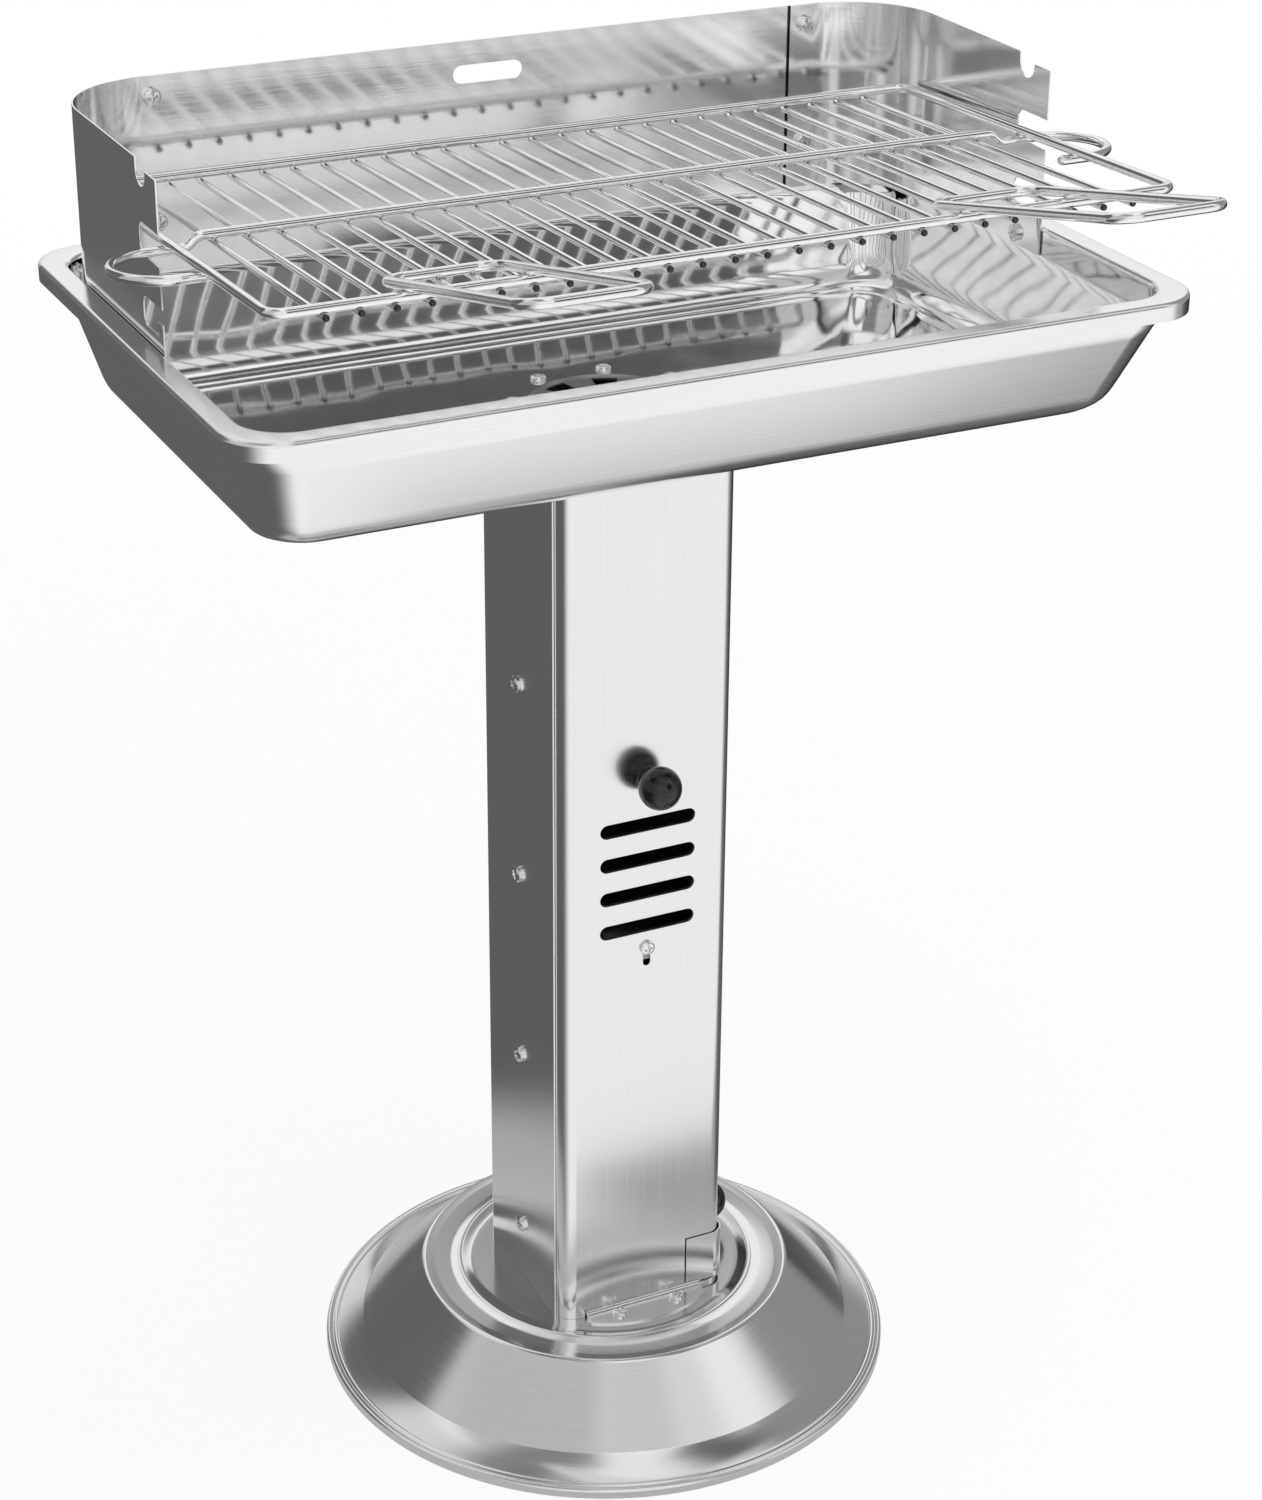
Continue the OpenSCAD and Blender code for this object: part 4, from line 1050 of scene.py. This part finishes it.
# Grate
# Chromed wires welded together: a frame, a cross wire with a loop at each end, 26 rods under them and
# two handles whose cross-bars lie on the rods. It slopes up a little to the front.

SLOPE = math.radians(-2.58)
GRATE_Y, GRATE_Z = -8.0, 810.3
WIRE = 3.0
FRAME_HALF, FRAME_CORNER = 274.4, 9
CROSS_Z = -6.05
LOOP_X, LOOP_RADIUS = 283.9, 30
ROD_RADIUS, ROD_HALF, ROD_PITCH = 2.0, 154.75, 19.6
ROD_Y, ROD_Z = -14.75, -5.05
HANDLE_X, HANDLE_Y, HANDLE_RUN, HANDLE_RISE = 166.6, -133, 194, 43


def on_grate(p):
    """A point of the level grate, put where the sloping grate is."""
    x, y, z = p
    return (x, y * math.cos(SLOPE) - z * math.sin(SLOPE) + GRATE_Y,
            y * math.sin(SLOPE) + z * math.cos(SLOPE) + GRATE_Z)


def round_loop(half_x, y0, y1, corner):
    return (arc(half_x - corner, y1 - corner, corner, 0, 90, 10)
            + arc(-half_x + corner, y1 - corner, corner, 90, 180, 10)
            + arc(-half_x + corner, y0 + corner, corner, 180, 270, 10)
            + arc(half_x - corner, y0 + corner, corner, 270, 360, 10))


def finish_wire(name, path, node, closed=False):
    finish_piece(name, [sweep(path, WIRE, closed=closed)], "grate", [node],
                 wire_chrome, sharp=60)


frame_path = [on_grate((x, y, 0)) for x, y in round_loop(FRAME_HALF, -167.5, 138, FRAME_CORNER)]
finish_wire("grate_frame_wire", frame_path, "grate_frame", closed=True)

# The cross wire's right half: level in the middle, down in two bends, out through the slot, round the
# loop and back under the frame.
bend = FRAME_CORNER
dip = math.acos(1 + CROSS_Z / (2 * bend))
dip_run = 2 * bend * math.sin(dip)
dip_start = FRAME_HALF - dip_run - bend
half = [(dip_start + bend * math.sin(a), 0, -bend + bend * math.cos(a))
        for a in (dip * i / 6 for i in range(7))]
half += [(dip_start + dip_run - bend * math.sin(a), 0, CROSS_Z + bend - bend * math.cos(a))
         for a in (dip * i / 6 for i in range(5, -1, -1))]
half += [(x, y, CROSS_Z) for x, y in arc(LOOP_X, -LOOP_RADIUS, LOOP_RADIUS, 90, -90, 32)]
half += [(268.4, -2 * LOOP_RADIUS, CROSS_Z)]
cross_path = [on_grate((-x, y, z)) for x, y, z in half[::-1]] + [on_grate(p) for p in half]
finish_wire("grate_cross_wire_bent", cross_path, "grate_cross_wire")

rod = sweep([(0, 0, -ROD_HALF), (0, 0, ROD_HALF)], ROD_RADIUS, sides=14)
rod_way = Vector(on_grate((0, 1, 0))) - Vector(on_grate((0, 0, 0)))
rod_places = [(on_grate((side * (k + 0.5) * ROD_PITCH, ROD_Y, ROD_Z)), rod_way)
              for k in range(13) for side in (-1, 1)]
rod_middle = Vector(on_grate((0, ROD_Y, ROD_Z))) * MM
rod_chrome = chrome_wire("rod_chrome", rod_middle, rod_way.normalized(), ROD_HALF * MM)
repeat("grate_rods_drawn", rod, rod_places, "grate", ["grate_rods"], rod_chrome, sharp=60)

handle_tilt = -math.asin(HANDLE_RISE / HANDLE_RUN) - SLOPE
for label, centre in (("left", -HANDLE_X), ("right", HANDLE_X)):
    path = [on_grate((centre + x, HANDLE_Y + y * math.cos(handle_tilt), y * math.sin(handle_tilt)))
            for x, y in round_loop(34, -HANDLE_RUN, 0, 14)]
    finish_wire("grate_handle_%s_bent" % label, path, "grate_handle_" + label, closed=True)

# Knobs
# Two moulded balls on short necks, screwed onto studs: one on the damper, one on the ash drawer.

BALL = 13.7
ball = [(0, 29.7)] + [(BALL * math.cos(a), 16.0 + BALL * math.sin(a)) for a in
                      (math.radians(t) for t in range(84, -60, -6))]
ball += [(7.0, 3.6), (6.6, 2.8), (6.5, 1.6), (6.8, 0.7), (6.5, 0.3), (0, 0.3)]
for label, centre, axis in (("damper", (0, -60, DAMPER_KNOB_Z), (0, -1, 0)),
                            ("ash_drawer", (61.5, 0, DRAWER_KNOB_Z), (1, 0, 0))):
    finish_piece(label + "_knob_ball", [revolve(ball, 64, centre, axis)], label, [label + "_knob"],
                 knob_black)

# Screws
# Pan heads with a cross recess and a plain shank; the large ones join the column's and the shield's
# sheets, the small ones hold the bowl, the base's flanges and the damper's guide.

HEAD_RINGS = 18
HEAD_SIDES = 56
SIDE_PITCH = 133.2
JOINT_X, MOUNT_X = 221, 282.9


def flat_circle(radius, z):
    return [(radius * math.cos(a), radius * math.sin(a), z) for a in round_angles(HEAD_SIDES)]


def pan_screw(head, height, shank, length):
    radius = head / 2
    rings = [[(0, 0, height * 0.45)]]
    for k in range(1, HEAD_RINGS + 1):
        r = radius * k / HEAD_RINGS
        dome = height * (1 - 0.14 * (r / radius) ** 2 - 0.28 * (r / radius) ** 6)
        ring = []
        for x, y, z in flat_circle(r, dome):
            near, far = sorted((abs(x), abs(y)))
            wall = max(0.0, min(1.0, (radius * 0.17 - near) / (radius * 0.07)))
            end = max(0.0, min(1.0, (radius * 0.62 - far) / (radius * 0.2)))
            ring.append((x, y, z - height * 0.5 * wall * end))
        rings.append(ring)
    rings += [flat_circle(share * radius, z * height)
              for share, z in ((0.99, 0.4), (0.985, 0.2), (0.96, 0.0))]
    rings += [flat_circle(shank / 2, z) for z in (0.0, -length)]
    rings.append([(0, 0, -length)])
    return skin(rings)


large = pan_screw(11, 3.6, 6, 8.9)
small = pan_screw(9.5, 2.8, 4, 7.5)
side_heights = [DRAWER_TOP + SIDE_PITCH * i for i in range(5)]
side_places = [((-60, 3, z), (-1, 0, 0)) for z in side_heights]
side_places += [((60, 3, z), (1, 0, 0)) for z in side_heights[1:]]
joint_places = [((side * JOINT_X, 168.4, z), (0, -1, 0)) for side in (-1, 1) for z in (842, 765.2)]
mount_places = [((side * MOUNT_X, 0, 741.6), (-side, 0, 0)) for side in (-1, 1)]
bowl_places = [((x, y, FLOOR_TOP), (0, 0, 1)) for a in (-1, 1) for b in (-1, 1)
               for x, y in ((a * 22.05, b * 53.06), (b * 53.06, a * 22.05))]
base_places = [((x * 21, y * 68, COLUMN_FOOT + SHEET), (0, 0, 1)) for x in (-1, 1) for y in (-1, 1)]
guide_places = [((0, -60.2, GUIDE_Z), (0, -1, 0))]
for name, screw, places, body, node, seed in (
    ("column_screw_set", large, side_places, "stand", "column_screws", 3),
    ("shield_joint_set", large, joint_places, "stand", "shield_joint_screws", 5),
    ("shield_mount_set", large, mount_places, "stand", "shield_mount_screws", 8),
    ("bowl_screw_set", small, bowl_places, "stand", "bowl_screws", 4),
    ("base_screw_set", small, base_places, "stand", "base_screws", 6),
    ("damper_guide_set", small, guide_places, "damper", "damper_guide_screw", 9),
):
    repeat(name, screw, places, body, [node], fastener_steel, seed=seed)
